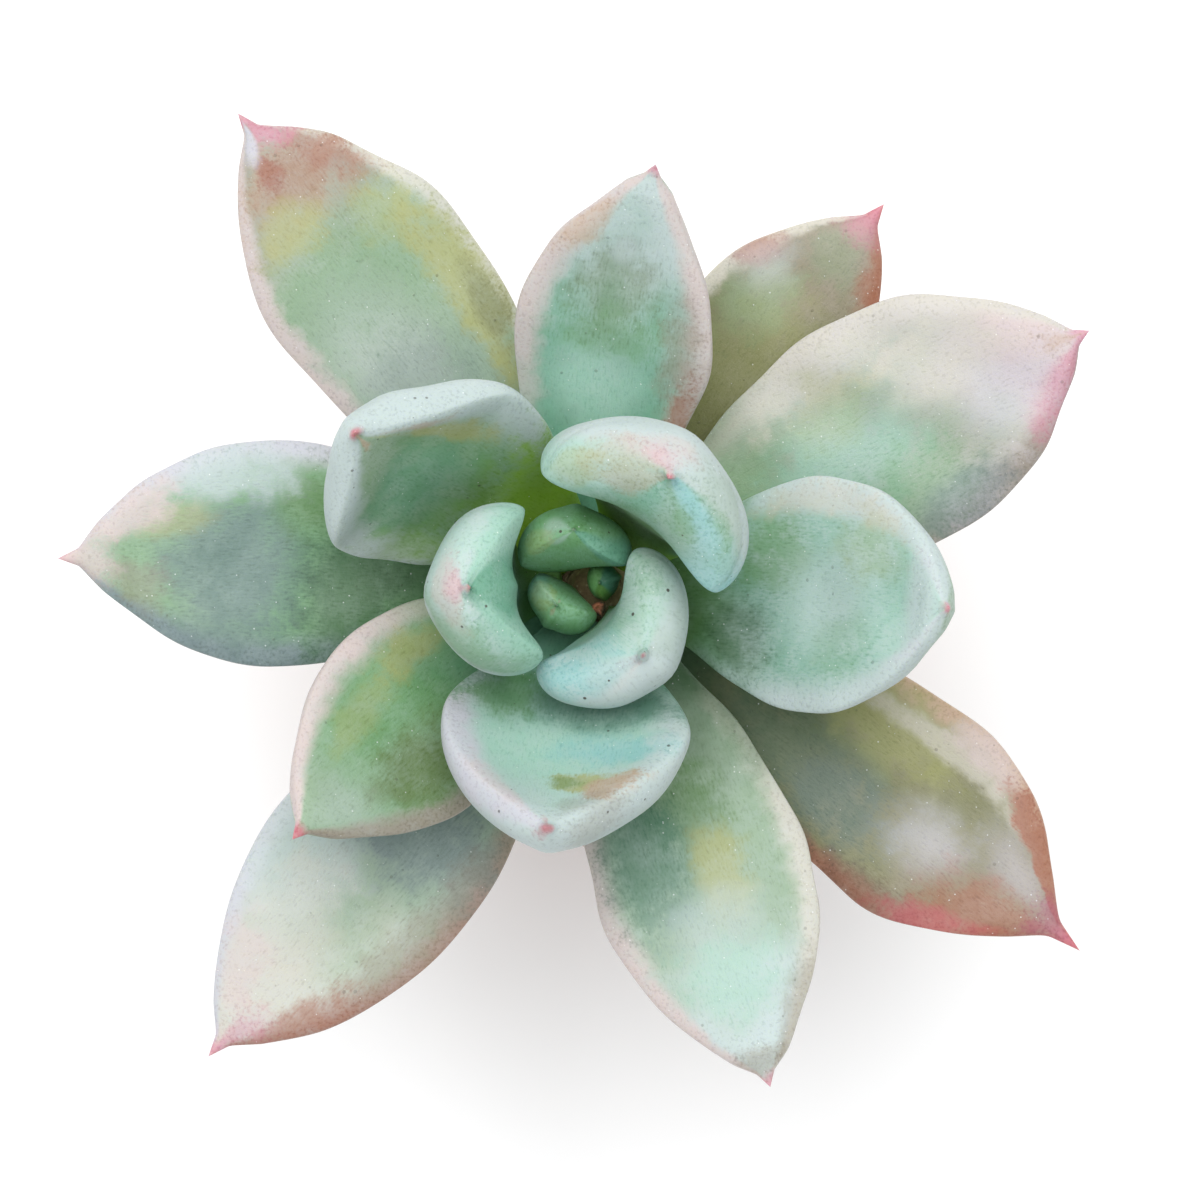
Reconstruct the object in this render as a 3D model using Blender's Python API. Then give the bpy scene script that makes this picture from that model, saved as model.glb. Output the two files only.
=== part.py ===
"""Potted succulent: a loose rosette of fat, spoon-shaped leaves on a short stem, in a plain clay pot.

The unit is the metre and +Z is up.  The origin is the middle of the pot's flat foot, and the stem
stands on the Z axis.  Nothing moves: the plant stands in its soil, and the soil in its pot.
Sizes of leaves are written in millimetres and degrees, as a grower would measure them.
"""
import math
from dataclasses import dataclass

import bmesh
import bpy
import numpy as np

MM = 0.001
GAP = 0.3 * MM              # left between pieces that would touch

# The pot: a small clay nursery pot with a rim band and three drain holes.
POT_HEIGHT = 50 * MM
POT_RIM_RADIUS = 27 * MM    # outside of the rim band
POT_NECK_RADIUS = 25 * MM   # outside of the wall, just under the band
POT_FOOT_RADIUS = 19 * MM
POT_WALL = 3.4 * MM
POT_FLOOR = 4 * MM
RIM_BAND = 11 * MM          # height of the rim band
ROUNDING = 1 * MM           # at the lip and round the foot
DRAIN_RADIUS = 3.5 * MM
DRAIN_CIRCLE = 11 * MM      # from the axis to the middle of a drain hole
DRAIN_COUNT = 3
POT_SIDES = 48

# The soil fills the pot to a watering space below the lip.
SOIL_TOP = 44 * MM
SOIL_LUMP = 0.7 * MM        # how far its surface rises and falls
SOIL_SIDES = 40

# The stem: upright, stubby, tapering into the heart of the rosette.
STEM_FOOT = 26 * MM         # lower end, in the soil
STEM_SIDES = 16
STEM_OUTLINE = (            # height, radius
    (26.0, 2.2), (29.0, 3.6), (34.0, 4.2), (40.0, 4.3), (45.0, 4.4), (48.0, 4.1), (51.0, 4.5),
    (54.0, 4.2), (57.0, 4.3), (60.0, 4.0), (64.0, 3.5), (68.0, 3.0), (71.0, 2.6), (73.5, 2.4),
    (74.2, 1.9), (74.8, 1.0),
)

# How finely a leaf is faceted: rings along it, and points round each ring.
LEAF_RINGS = 15
LEAF_SIDES = 16
HEART_RINGS = 11
HEART_SIDES = 12
HEART_LENGTH = 15.0         # leaves shorter than this are heart leaves


@dataclass
class Leaf:
    """One leaf, measured in millimetres and degrees."""

    foot: float             # direction from the stem to the leaf's foot
    foot_radius: float      # from the axis to the leaf's foot
    foot_height: float
    heading: float          # direction the leaf grows in, seen from above
    sway: float             # how far that direction has turned by the tip
    length: float           # along the middle of the leaf
    rise: tuple             # steepness at the foot and at the tip
    width: float
    thick: float
    cup: tuple              # half the angle its width curls through: at foot, widest place and tip
    colour: tuple
    widest: float = 0.6     # where along the leaf it is widest, from 0 to 1
    narrow: float = 0.25    # width at the foot, as a share of the full width
    flare: float = 1.5      # how long the foot stays narrow
    point: float = 0.85     # 0.5 is a round end, 1 a pointed one
    roll: float = 0.0       # turn about its own length
    belly: float = 0.62     # share of the thickness on the outer, lower side
    curl: float = 1.6       # 1 bends evenly, more bends late, less bends early
    thin: float = 0.4       # thickness at the foot, as a share of the full thickness
    blunt: float = 0.55     # how full the thickness stays towards the tip
    tip: float = 2.0        # length of the soft spine at the end
    tip_girth: float = 1.8


GREY_BEIGE = (0.52, 0.55, 0.45)
OLIVE_BROWN = (0.42, 0.40, 0.26)
PALE_PINK = (0.66, 0.62, 0.52)
GREEN = (0.40, 0.52, 0.38)
TEAL_GREY = (0.38, 0.48, 0.43)
MINT = (0.60, 0.70, 0.62)
HEART_GREEN = (0.28, 0.42, 0.33)

# From the oldest, lowest leaf to the youngest in the heart.  Each leaf stands about 137.5 degrees,
# the golden angle, round from the one before it, and about a millimetre higher.
LEAVES = (
    Leaf(foot=60, foot_radius=5.0, foot_height=57, heading=55, sway=-5, length=44.5, rise=(6, 14),
         width=19, thick=5.5, cup=(7.5, 15, 15), colour=OLIVE_BROWN, point=0.9),
    Leaf(foot=-15, foot_radius=4.8, foot_height=59, heading=-36, sway=-5, length=57, rise=(4, 8),
         width=21.5, thick=5.5, cup=(7.5, 15, 15), colour=OLIVE_BROWN, widest=0.66, narrow=0.3, flare=1.2,
         point=1.1, tip=3),
    Leaf(foot=120, foot_radius=4.6, foot_height=60, heading=126, sway=3, length=56, rise=(6, 14),
         width=22, thick=5.5, cup=(7.5, 15, 15), colour=GREY_BEIGE, widest=0.62, flare=1.2),
    Leaf(foot=240, foot_radius=4.5, foot_height=61, heading=230, sway=-1, length=57, rise=(6, 14),
         width=22, thick=5.5, cup=(7.5, 15, 15), colour=PALE_PINK, widest=0.58),
    Leaf(foot=36, foot_radius=4.4, foot_height=62, heading=28, sway=-2, length=52.5, rise=(10, 22),
         width=24.5, thick=6, cup=(7.5, 15, 15), colour=PALE_PINK, point=0.82, tip=1.5),
    Leaf(foot=155, foot_radius=4.2, foot_height=63, heading=173, sway=11, length=51, rise=(10, 20),
         width=22.5, thick=6, cup=(7.5, 15, 15), colour=TEAL_GREY),
    Leaf(foot=-67, foot_radius=4.1, foot_height=64, heading=-69, sway=-4, length=49.5, rise=(12, 20),
         width=21.5, thick=6, cup=(7.5, 15, 15), colour=GREEN, widest=0.58, flare=1.1, tip=1.5),
    Leaf(foot=93, foot_radius=4.0, foot_height=65, heading=88, sway=-15, length=43, rise=(18, 44),
         width=20, thick=6, cup=(8, 30, 30), colour=GREEN, widest=0.57, point=1, roll=-6, tip=1.5),
    Leaf(foot=205, foot_radius=3.8, foot_height=66, heading=212, sway=19, length=40, rise=(20, 46),
         width=20.5, thick=6, cup=(8.5, 17, 17), colour=GREEN, widest=0.52, roll=-8),
    Leaf(foot=0, foot_radius=3.7, foot_height=67, heading=0, sway=-8, length=40.5, rise=(24, 68),
         width=23.5, thick=6.5, cup=(14, 20, 20), colour=MINT, widest=0.56, point=0.72, roll=-4, tip=1.2),
    Leaf(foot=122, foot_radius=3.6, foot_height=68, heading=140, sway=28, length=40, rise=(30, 86),
         width=24, thick=6.2, cup=(6, 20, 60), colour=GREEN, widest=0.61, point=1.05, roll=-30, blunt=0.5),
    Leaf(foot=267, foot_radius=3.4, foot_height=69, heading=257, sway=0, length=35.5, rise=(34, 95),
         width=25.5, thick=7, cup=(17, 42, 48), colour=MINT, widest=0.5, narrow=0.3, point=0.87, roll=8,
         curl=1.9, blunt=0.5),
    Leaf(foot=46, foot_radius=4.0, foot_height=70.2, heading=61, sway=6, length=34.5, rise=(32, 109),
         width=27, thick=9, cup=(4, 80, 30), colour=MINT, widest=0.8, narrow=0.2, point=0.6, roll=-10,
         belly=0.34, curl=0.8, blunt=0.44),
    Leaf(foot=176, foot_radius=3.3, foot_height=70.5, heading=179, sway=19, length=31, rise=(-2, 114),
         width=23.5, thick=8.3, cup=(39, 98, 78), colour=MINT, widest=0.81, narrow=0.12, point=0.44,
         roll=-7, belly=0.27, curl=0.58, thin=0.3),
    Leaf(foot=-53, foot_radius=3.5, foot_height=74, heading=-58, sway=9, length=17.3, rise=(54, 93),
         width=21, thick=7.8, cup=(57, 88, 34), colour=MINT, widest=0.64, narrow=0.13, point=0.52,
         roll=14, belly=0.47, curl=0.8, blunt=0.5),
    Leaf(foot=121, foot_radius=3.1, foot_height=75.5, heading=113, sway=-27, length=14, rise=(77, 76),
         width=11, thick=5.3, cup=(7, 40, 53), colour=HEART_GREEN, widest=0.54, narrow=0.18, point=0.72,
         roll=-9, belly=0.69, thin=0.36, blunt=0.64, tip=0.8, tip_girth=0.6),
    Leaf(foot=192, foot_radius=2.5, foot_height=74.3, heading=211, sway=10, length=8.8, rise=(74, 83),
         width=7, thick=4.5, cup=(2, 28, 30), colour=HEART_GREEN, widest=0.54, narrow=0.23, point=0.35,
         roll=18, belly=0.65, curl=0.9, thin=0.46, tip=0.8, tip_girth=0.5),
    Leaf(foot=60, foot_radius=0.8, foot_height=75.6, heading=18, sway=-4, length=5, rise=(90, 93),
         width=3.4, thick=2.9, cup=(8, 0, 24), colour=HEART_GREEN, widest=0.35, narrow=0.44, point=0.8,
         tip=0.5, tip_girth=0.4),
    Leaf(foot=-84, foot_radius=1.75, foot_height=75.8, heading=-65, sway=0, length=4, rise=(90, 95),
         width=1.3, thick=1.2, cup=(0, 0, 0), colour=HEART_GREEN, widest=0.45, point=0.6, tip=0.5,
         tip_girth=0.3),
)


def clear_scene():
    """Remove whatever the scene holds."""
    for obj in list(bpy.data.objects):
        bpy.data.objects.remove(obj, do_unlink=True)


def finish(name, colour, roughness):
    """A plain material of one colour."""
    material = bpy.data.materials.new(name)
    material.use_nodes = True
    shader = material.node_tree.nodes["Principled BSDF"]
    shader.inputs["Base Color"].default_value = (*colour, 1)
    shader.inputs["Roughness"].default_value = roughness
    shader.inputs["Metallic"].default_value = 0
    material.diffuse_color = (*colour, 1)
    return material


def skin_rings(name, rings, material):
    """Join rings of points into one closed body: quads between rings, a fan of triangles at each end.

    rings is an array of ring, point, xyz.  The first and last ring are single points in effect: their
    average is the pole that the fan meets.
    """
    body = bmesh.new()
    inner = [[body.verts.new(p) for p in ring] for ring in rings[1:-1]]
    first = body.verts.new(rings[0].mean(axis=0))
    last = body.verts.new(rings[-1].mean(axis=0))
    count = rings.shape[1]
    for j in range(count):
        k = (j + 1) % count
        body.faces.new((inner[0][k], inner[0][j], first))
        for low, high in zip(inner, inner[1:]):
            body.faces.new((low[j], low[k], high[k], high[j]))
        body.faces.new((inner[-1][j], inner[-1][k], last))
    bmesh.ops.triangulate(body, faces=body.faces)
    bmesh.ops.recalc_face_normals(body, faces=body.faces)
    mesh = bpy.data.meshes.new(name)
    body.to_mesh(mesh)
    body.free()
    mesh.shade_smooth()
    mesh.materials.append(material)
    obj = bpy.data.objects.new(name, mesh)
    bpy.context.collection.objects.link(obj)
    return obj


def turned_rings(outline, sides):
    """Carry an outline of (radius, height) points round the Z axis, as rings of points."""
    turn = np.linspace(0, 2 * math.pi, sides, endpoint=False)
    radius, height = np.array(outline).T
    x = radius[:, None] * np.cos(turn)
    y = radius[:, None] * np.sin(turn)
    z = np.repeat(height[:, None], sides, axis=1)
    return np.stack([x, y, z], axis=-1)


def wall_radius(height):
    """Outside of the pot's wall at a height: a straight taper from foot to neck."""
    return POT_FOOT_RADIUS + (POT_NECK_RADIUS - POT_FOOT_RADIUS) * height / (POT_HEIGHT - RIM_BAND)


def inside_radius(height):
    """Inside of the pot's wall at a height; it keeps the wall's taper up into the rim band."""
    return wall_radius(height) - POT_WALL


def build_pot():
    """A turned clay pot, with its drain holes cut through the floor."""
    band = POT_HEIGHT - RIM_BAND
    lip_inside = inside_radius(band) + ROUNDING
    outline = [
        (0, 0), (POT_FOOT_RADIUS * 0.5, 0), (POT_FOOT_RADIUS - ROUNDING, 0),
        (POT_FOOT_RADIUS, ROUNDING), (wall_radius(band / 2), band / 2), (POT_NECK_RADIUS, band),
        (POT_RIM_RADIUS - ROUNDING / 2, band), (POT_RIM_RADIUS, band + ROUNDING / 2),
        (POT_RIM_RADIUS, POT_HEIGHT - ROUNDING), (POT_RIM_RADIUS - ROUNDING, POT_HEIGHT),
        (lip_inside + ROUNDING, POT_HEIGHT), (lip_inside, POT_HEIGHT - ROUNDING),
        (inside_radius(band), band), (inside_radius(POT_FLOOR), POT_FLOOR),
        (inside_radius(POT_FLOOR) * 0.5, POT_FLOOR), (0, POT_FLOOR),
    ]
    clay = finish("clay", (0.60, 0.29, 0.17), 0.85)
    pot = skin_rings("pot", turned_rings(outline, POT_SIDES), clay)
    pot.data.set_sharp_from_angle(angle=math.radians(35))
    drill = cutter_of_drains()
    cut = pot.modifiers.new("drain_holes", "BOOLEAN")
    cut.operation = "DIFFERENCE"
    cut.object = drill
    return pot


def cutter_of_drains():
    """Three upright rods that stand where the drain holes go."""
    rods = bmesh.new()
    for i in range(DRAIN_COUNT):
        turn = 2 * math.pi * i / DRAIN_COUNT + math.radians(90)
        rod = bmesh.ops.create_cone(rods, cap_ends=True, segments=16, radius1=DRAIN_RADIUS,
                                    radius2=DRAIN_RADIUS, depth=POT_FLOOR * 3)
        place = (DRAIN_CIRCLE * math.cos(turn), DRAIN_CIRCLE * math.sin(turn), POT_FLOOR / 2)
        bmesh.ops.translate(rods, verts=rod["verts"], vec=place)
    mesh = bpy.data.meshes.new("drain_cutter")
    rods.to_mesh(mesh)
    rods.free()
    drill = bpy.data.objects.new("drain_cutter", mesh)
    bpy.context.collection.objects.link(drill)
    drill.hide_render = True
    drill.display_type = "WIRE"
    return drill


def stem_radius(height):
    """The stem's radius at a height."""
    heights, radii = np.array(STEM_OUTLINE).T * MM
    return float(np.interp(height, heights, radii))


def build_soil():
    """The root ball of soil: it fills the pot, has a lumpy top, and a socket that the stem stands in."""
    bottom = POT_FLOOR + GAP
    mouth = stem_radius(SOIL_TOP) + GAP
    edge = inside_radius(SOIL_TOP) - GAP
    outline = [(0, bottom), (inside_radius(bottom) * 0.5, bottom), (inside_radius(bottom) - GAP, bottom)]
    outline += [(inside_radius(POT_HEIGHT - RIM_BAND) - GAP, POT_HEIGHT - RIM_BAND), (edge, SOIL_TOP)]
    shares = (0.8, 0.6, 0.4, 0.2)
    outline += [(mouth + share * (edge - mouth), SOIL_TOP) for share in shares]
    outline += [(mouth, SOIL_TOP)]
    socket = [h * MM for h, _ in reversed(STEM_OUTLINE) if h * MM < SOIL_TOP]
    outline += [(stem_radius(h) + GAP, h) for h in socket]
    outline += [(0, STEM_FOOT - GAP)]
    rings = turned_rings(outline, SOIL_SIDES)
    radius = np.hypot(rings[..., 0], rings[..., 1])
    turn = np.arctan2(rings[..., 1], rings[..., 0])
    on_top = (rings[..., 2] > SOIL_TOP - 1e-6) & (radius < edge - 1e-6)
    lumps = np.sin(3 * turn + 900 * radius) * np.cos(5 * turn - 600 * radius)
    rings[..., 2] += np.where(on_top, SOIL_LUMP * lumps, 0)
    return skin_rings("soil", rings, finish("soil", (0.09, 0.06, 0.04), 0.95))


def build_stem():
    """The stem: rings whose girth swells at the scars of leaves it has shed."""
    outline = [(0, STEM_FOOT)] + [(radius * MM, height * MM) for height, radius in STEM_OUTLINE]
    outline += [(0, (STEM_OUTLINE[-1][0] + 0.3) * MM)]
    return skin_rings("stem", turned_rings(outline, STEM_SIDES), finish("stem", (0.33, 0.30, 0.20), 0.8))


def midline(leaf, along):
    """The leaf's middle line at shares `along` of its length, with its sideways and upward directions.

    Its steepness goes from rise[0] to rise[1] with the share raised to the power curl, and its heading
    turns evenly by sway.  Walking along those directions from the foot gives the line.
    """
    fine = np.linspace(0, 1, 201)
    steep = np.radians(leaf.rise[0] + (leaf.rise[1] - leaf.rise[0]) * fine ** leaf.curl)
    heading = np.radians(leaf.heading + leaf.sway * fine)
    ahead = np.stack([np.cos(steep) * np.cos(heading), np.cos(steep) * np.sin(heading), np.sin(steep)], 1)
    step = leaf.length / (len(fine) - 1)
    walk = np.vstack([np.zeros(3), np.cumsum((ahead[1:] + ahead[:-1]) / 2 * step, axis=0)])
    foot = math.radians(leaf.foot)
    start = np.array([leaf.foot_radius * math.cos(foot), leaf.foot_radius * math.sin(foot), leaf.foot_height])
    centre = np.stack([np.interp(along, fine, (walk + start)[:, i]) for i in range(3)], 1)
    ahead = np.stack([np.interp(along, fine, ahead[:, i]) for i in range(3)], 1)
    ahead /= np.linalg.norm(ahead, axis=1, keepdims=True)
    level = np.interp(along, fine, heading)
    side = np.stack([-np.sin(level), np.cos(level), np.zeros_like(level)], 1)
    up = np.cross(ahead, side)
    turn = (np.radians(leaf.roll) * np.sin(math.pi / 2 * np.clip(along / 0.5, 0, 1)))[:, None]
    return centre, side * np.cos(turn) + up * np.sin(turn), up * np.cos(turn) - side * np.sin(turn)


def girth(leaf, along):
    """Half the leaf's width and its whole thickness at shares `along` of its length.

    Both grow on a quarter sine from the foot to the widest place, then fall as (1 - fall^2) to a power,
    and blend into the soft spine at the tip.  A quarter circle closes them at the foot.
    """
    spine = leaf.tip / leaf.length
    blade = np.clip(along / (1 - spine), 0, 1)
    grow = np.sin(math.pi / 2 * np.clip(blade / leaf.widest, 0, 1))
    fall = np.clip((blade - leaf.widest) / (1 - leaf.widest), 0, 0.9999999)
    cone = leaf.tip_girth * np.clip((1 - along) / (2.2 * spine), 0, 1)
    closing = np.sqrt(1 - (1 - np.clip(along / 0.03, 0, 1)) ** 2)
    half = leaf.width / 2 * (leaf.narrow + (1 - leaf.narrow) * grow ** leaf.flare) * (1 - fall ** 2) ** leaf.point
    deep = leaf.thick * (leaf.thin + (1 - leaf.thin) * grow) * (1 - fall ** 2) ** leaf.blunt
    half = (half ** 2.4 + cone ** 2.4) ** (1 / 2.4)
    deep = (deep ** 3 + (1.5 * cone) ** 3) ** (1 / 3)
    return half * closing, deep * closing


def leaf_rings(leaf, ring_count, sides):
    """Rings of points along the leaf: flattened ovals, their width curled onto an arc."""
    along = (1 - np.cos(np.linspace(0, math.pi, ring_count))) / 2
    centre, side, up = midline(leaf, along)
    half, deep = girth(leaf, along)
    turn = np.linspace(0, 2 * math.pi, sides, endpoint=False)
    across = half[:, None] * np.cos(turn)
    share = np.where(np.sin(turn) > 0, 1 - leaf.belly, leaf.belly)
    height = deep[:, None] * share * np.sin(turn)
    curl = np.radians(np.interp(along, [0, leaf.widest, 1], leaf.cup))[:, None] + 1e-6
    arc = np.maximum(half, 1e-6)[:, None] / curl
    angle = across / arc
    sideways = (arc - height) * np.sin(angle)
    upward = arc - (arc - height) * np.cos(angle)
    return centre[:, None] + sideways[..., None] * side[:, None] + upward[..., None] * up[:, None]


def build_leaf(number, leaf):
    """One leaf as a closed body."""
    name = f"leaf_{number:02d}"
    in_heart = leaf.length < HEART_LENGTH
    ring_count = HEART_RINGS if in_heart else LEAF_RINGS
    sides = HEART_SIDES if in_heart else LEAF_SIDES
    return skin_rings(name, leaf_rings(leaf, ring_count, sides) * MM, finish(name, leaf.colour, 0.6))


clear_scene()
build_pot()
build_soil()
build_stem()
for index, one in enumerate(LEAVES, start=1):
    build_leaf(index, one)
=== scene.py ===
# %% [markdown]
# # A potted succulent
#
# The real thing is a rosette of nineteen fat leaves on a short stem, planted in a small clay pot.  The
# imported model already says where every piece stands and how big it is.  This lesson gives each piece its
# living surface: smooth swollen skin, powdery bloom, pink tips, fired clay and gritty soil.
#
# Each piece could be sculpted by hand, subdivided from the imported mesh, or worked out from a formula.  The
# formula is chosen, because a leaf is a simple shape that a few measurements describe, and because every
# leaf can then carry its own coordinates, which its colours follow.

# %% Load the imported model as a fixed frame
import math
from dataclasses import dataclass

import bmesh
import bpy
import numpy as np
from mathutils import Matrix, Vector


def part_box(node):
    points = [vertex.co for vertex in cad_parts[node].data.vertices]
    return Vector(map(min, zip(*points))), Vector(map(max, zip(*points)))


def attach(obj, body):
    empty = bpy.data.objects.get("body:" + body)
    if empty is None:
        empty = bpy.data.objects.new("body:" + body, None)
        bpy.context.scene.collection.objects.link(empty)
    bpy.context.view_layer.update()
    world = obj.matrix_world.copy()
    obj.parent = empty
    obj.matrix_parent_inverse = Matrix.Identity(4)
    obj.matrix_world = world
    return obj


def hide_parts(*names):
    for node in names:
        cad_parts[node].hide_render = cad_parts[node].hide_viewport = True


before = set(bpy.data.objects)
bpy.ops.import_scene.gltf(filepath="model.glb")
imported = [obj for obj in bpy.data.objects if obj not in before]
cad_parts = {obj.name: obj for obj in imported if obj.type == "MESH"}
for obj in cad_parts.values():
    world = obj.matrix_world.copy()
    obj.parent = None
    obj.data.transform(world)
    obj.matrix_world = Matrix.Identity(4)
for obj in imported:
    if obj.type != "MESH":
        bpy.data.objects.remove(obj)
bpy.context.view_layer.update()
MM = 0.001

# %% [markdown]
# ## From a grid of points to a closed skin
#
# Every surface here is a function of two parameters: how far along the piece, and how far round it.  Evaluated
# on a grid, that gives rings of points.  One helper turns any such grid into a mesh: quads between rings, and
# a fan of triangles that closes each end in a pole.  Blender's own primitives could be bent into shape instead,
# but whole arrays handed over with foreach_set are quick and keep the grid's order, so that each point can also
# carry values such as "how far along the leaf am I", which the materials read later.


# %% A closed skin from rings of points
def closed_skin(name, rings, values=None, skin_map=None):
    """Make a closed mesh from an array (ring, point, xyz) in metres; its first and last rings become poles.

    Between ring i and ring i + 1, points j and j + 1 make a quad that faces outwards when the points run
    anticlockwise seen from the last ring.  values is a dictionary of arrays (ring, point), kept as attributes,
    and skin_map an array (ring, point, 2), kept as a UV map.
    """
    count = rings.shape[1]
    inner = len(rings) - 2
    poles = np.stack([rings[0].mean(axis=0), rings[-1].mean(axis=0)])
    points = np.vstack([rings[1:-1].reshape(-1, 3), poles])
    here = np.arange(count)
    beside = (here + 1) % count
    start = (np.arange(inner - 1) * count)[:, None]
    quads = np.stack([start + here, start + beside, start + count + beside, start + count + here], axis=-1)
    quads = quads.reshape(-1, 4)
    last = (inner - 1) * count
    foot = np.stack([beside, here, np.full(count, inner * count)], axis=-1)
    head = np.stack([last + here, last + beside, np.full(count, inner * count + 1)], axis=-1)
    corners = np.concatenate([quads.ravel(), foot.ravel(), head.ravel()])
    sizes = np.concatenate([np.full(len(quads), 4), np.full(2 * count, 3)])
    mesh = bpy.data.meshes.new(name)
    mesh.vertices.add(len(points))
    mesh.vertices.foreach_set("co", points.astype(np.float32).ravel())
    mesh.loops.add(len(corners))
    mesh.loops.foreach_set("vertex_index", corners.astype(np.int32))
    mesh.polygons.add(len(sizes))
    mesh.polygons.foreach_set("loop_start", (np.cumsum(sizes) - sizes).astype(np.int32))
    mesh.update(calc_edges=True)
    for label, value in (values or {}).items():
        ends = [value[0].mean(), value[-1].mean()]
        layer = mesh.attributes.new(label, "FLOAT", "POINT")
        layer.data.foreach_set("value", np.concatenate([value[1:-1].ravel(), ends]).astype(np.float32))
    if skin_map is not None:
        ends = np.stack([skin_map[0].mean(axis=0), skin_map[-1].mean(axis=0)])
        flat = np.vstack([skin_map[1:-1].reshape(-1, 2), ends])
        layer = mesh.uv_layers.new(name="skin")
        layer.data.foreach_set("uv", flat[corners].astype(np.float32).ravel())
    mesh.validate()
    mesh.shade_smooth()
    return show(name, mesh)


def show(name, mesh):
    """Put a mesh into the scene as an object at the origin."""
    obj = bpy.data.objects.new(name, mesh)
    bpy.context.collection.objects.link(obj)
    return obj


# %% [markdown]
# ## Uneven by nature
#
# Nothing that grows or is thrown on a wheel is perfectly even.  A displacement texture could roughen each piece,
# but it needs a modifier and very fine meshes.  A sum of a dozen sine waves in random directions is enough
# for the slow swell of a leaf or the wobble of clay, and its seed keeps it the same on every run.


# %% A slow random swell
def swell(points, size, seed, waves=12):
    """A smooth random value near -1 to 1 at each point: the mean of sine waves about `size` long, scaled up.

    Each wave has its own direction, phase and length, from 0.7 to 1.4 times size.
    """
    chance = np.random.default_rng(seed)
    heading = chance.normal(size=(waves, 3))
    heading /= np.linalg.norm(heading, axis=1, keepdims=True)
    pace = 2 * math.pi / (size * chance.uniform(0.7, 1.4, waves))
    phase = chance.uniform(0, 2 * math.pi, waves)
    return np.sin(points @ (heading * pace[:, None]).T + phase).sum(axis=-1) / math.sqrt(waves)


def outward(rings):
    """The outward direction at each point of a ring grid: the cross product of its two slopes, one unit long."""
    around = np.roll(rings, -1, axis=1) - np.roll(rings, 1, axis=1)
    ahead = np.gradient(rings, axis=0)
    out = np.cross(around, ahead)
    return out / (np.linalg.norm(out, axis=-1, keepdims=True) + 1e-12)


# %% [markdown]
# ## The leaves
#
# A leaf of this kind is a water store: thick, spoon-shaped, with a soft spine at its tip.  It is measured like a
# real one: length along its middle, width, thickness, the direction it grows in, how steeply it rises, and
# how far its width is curled into a cup.  The young leaves in the middle stand up and fold over the heart, and
# the old ones lie nearly flat.  Each leaf stands about 137.5 degrees round from the one before it.
#
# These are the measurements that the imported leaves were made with, so each skin lies where its packed leaf is.


# %% Measurements of a leaf
@dataclass
class Leaf:
    """One leaf, measured in millimetres and degrees."""

    foot: float             # direction from the stem to the leaf's foot
    foot_radius: float      # from the axis to the leaf's foot
    foot_height: float
    heading: float          # direction the leaf grows in, seen from above
    sway: float             # how far that direction has turned by the tip
    length: float           # along the middle of the leaf
    rise: tuple             # steepness at the foot and at the tip
    width: float
    thick: float
    cup: tuple              # half the angle its width curls through: at foot, widest place and tip
    widest: float = 0.6     # where along the leaf it is widest, from 0 to 1
    narrow: float = 0.25    # width at the foot, as a share of the full width
    flare: float = 1.5      # how long the foot stays narrow
    point: float = 0.85     # 0.5 is a round end, 1 a pointed one
    roll: float = 0.0       # turn about its own length
    belly: float = 0.62     # share of the thickness on the outer, lower side
    curl: float = 1.6       # 1 bends evenly, more bends late, less bends early
    thin: float = 0.4       # thickness at the foot, as a share of the full thickness
    blunt: float = 0.55     # how full the thickness stays towards the tip
    tip: float = 2.0        # length of the soft spine at the end
    tip_girth: float = 1.8


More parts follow.
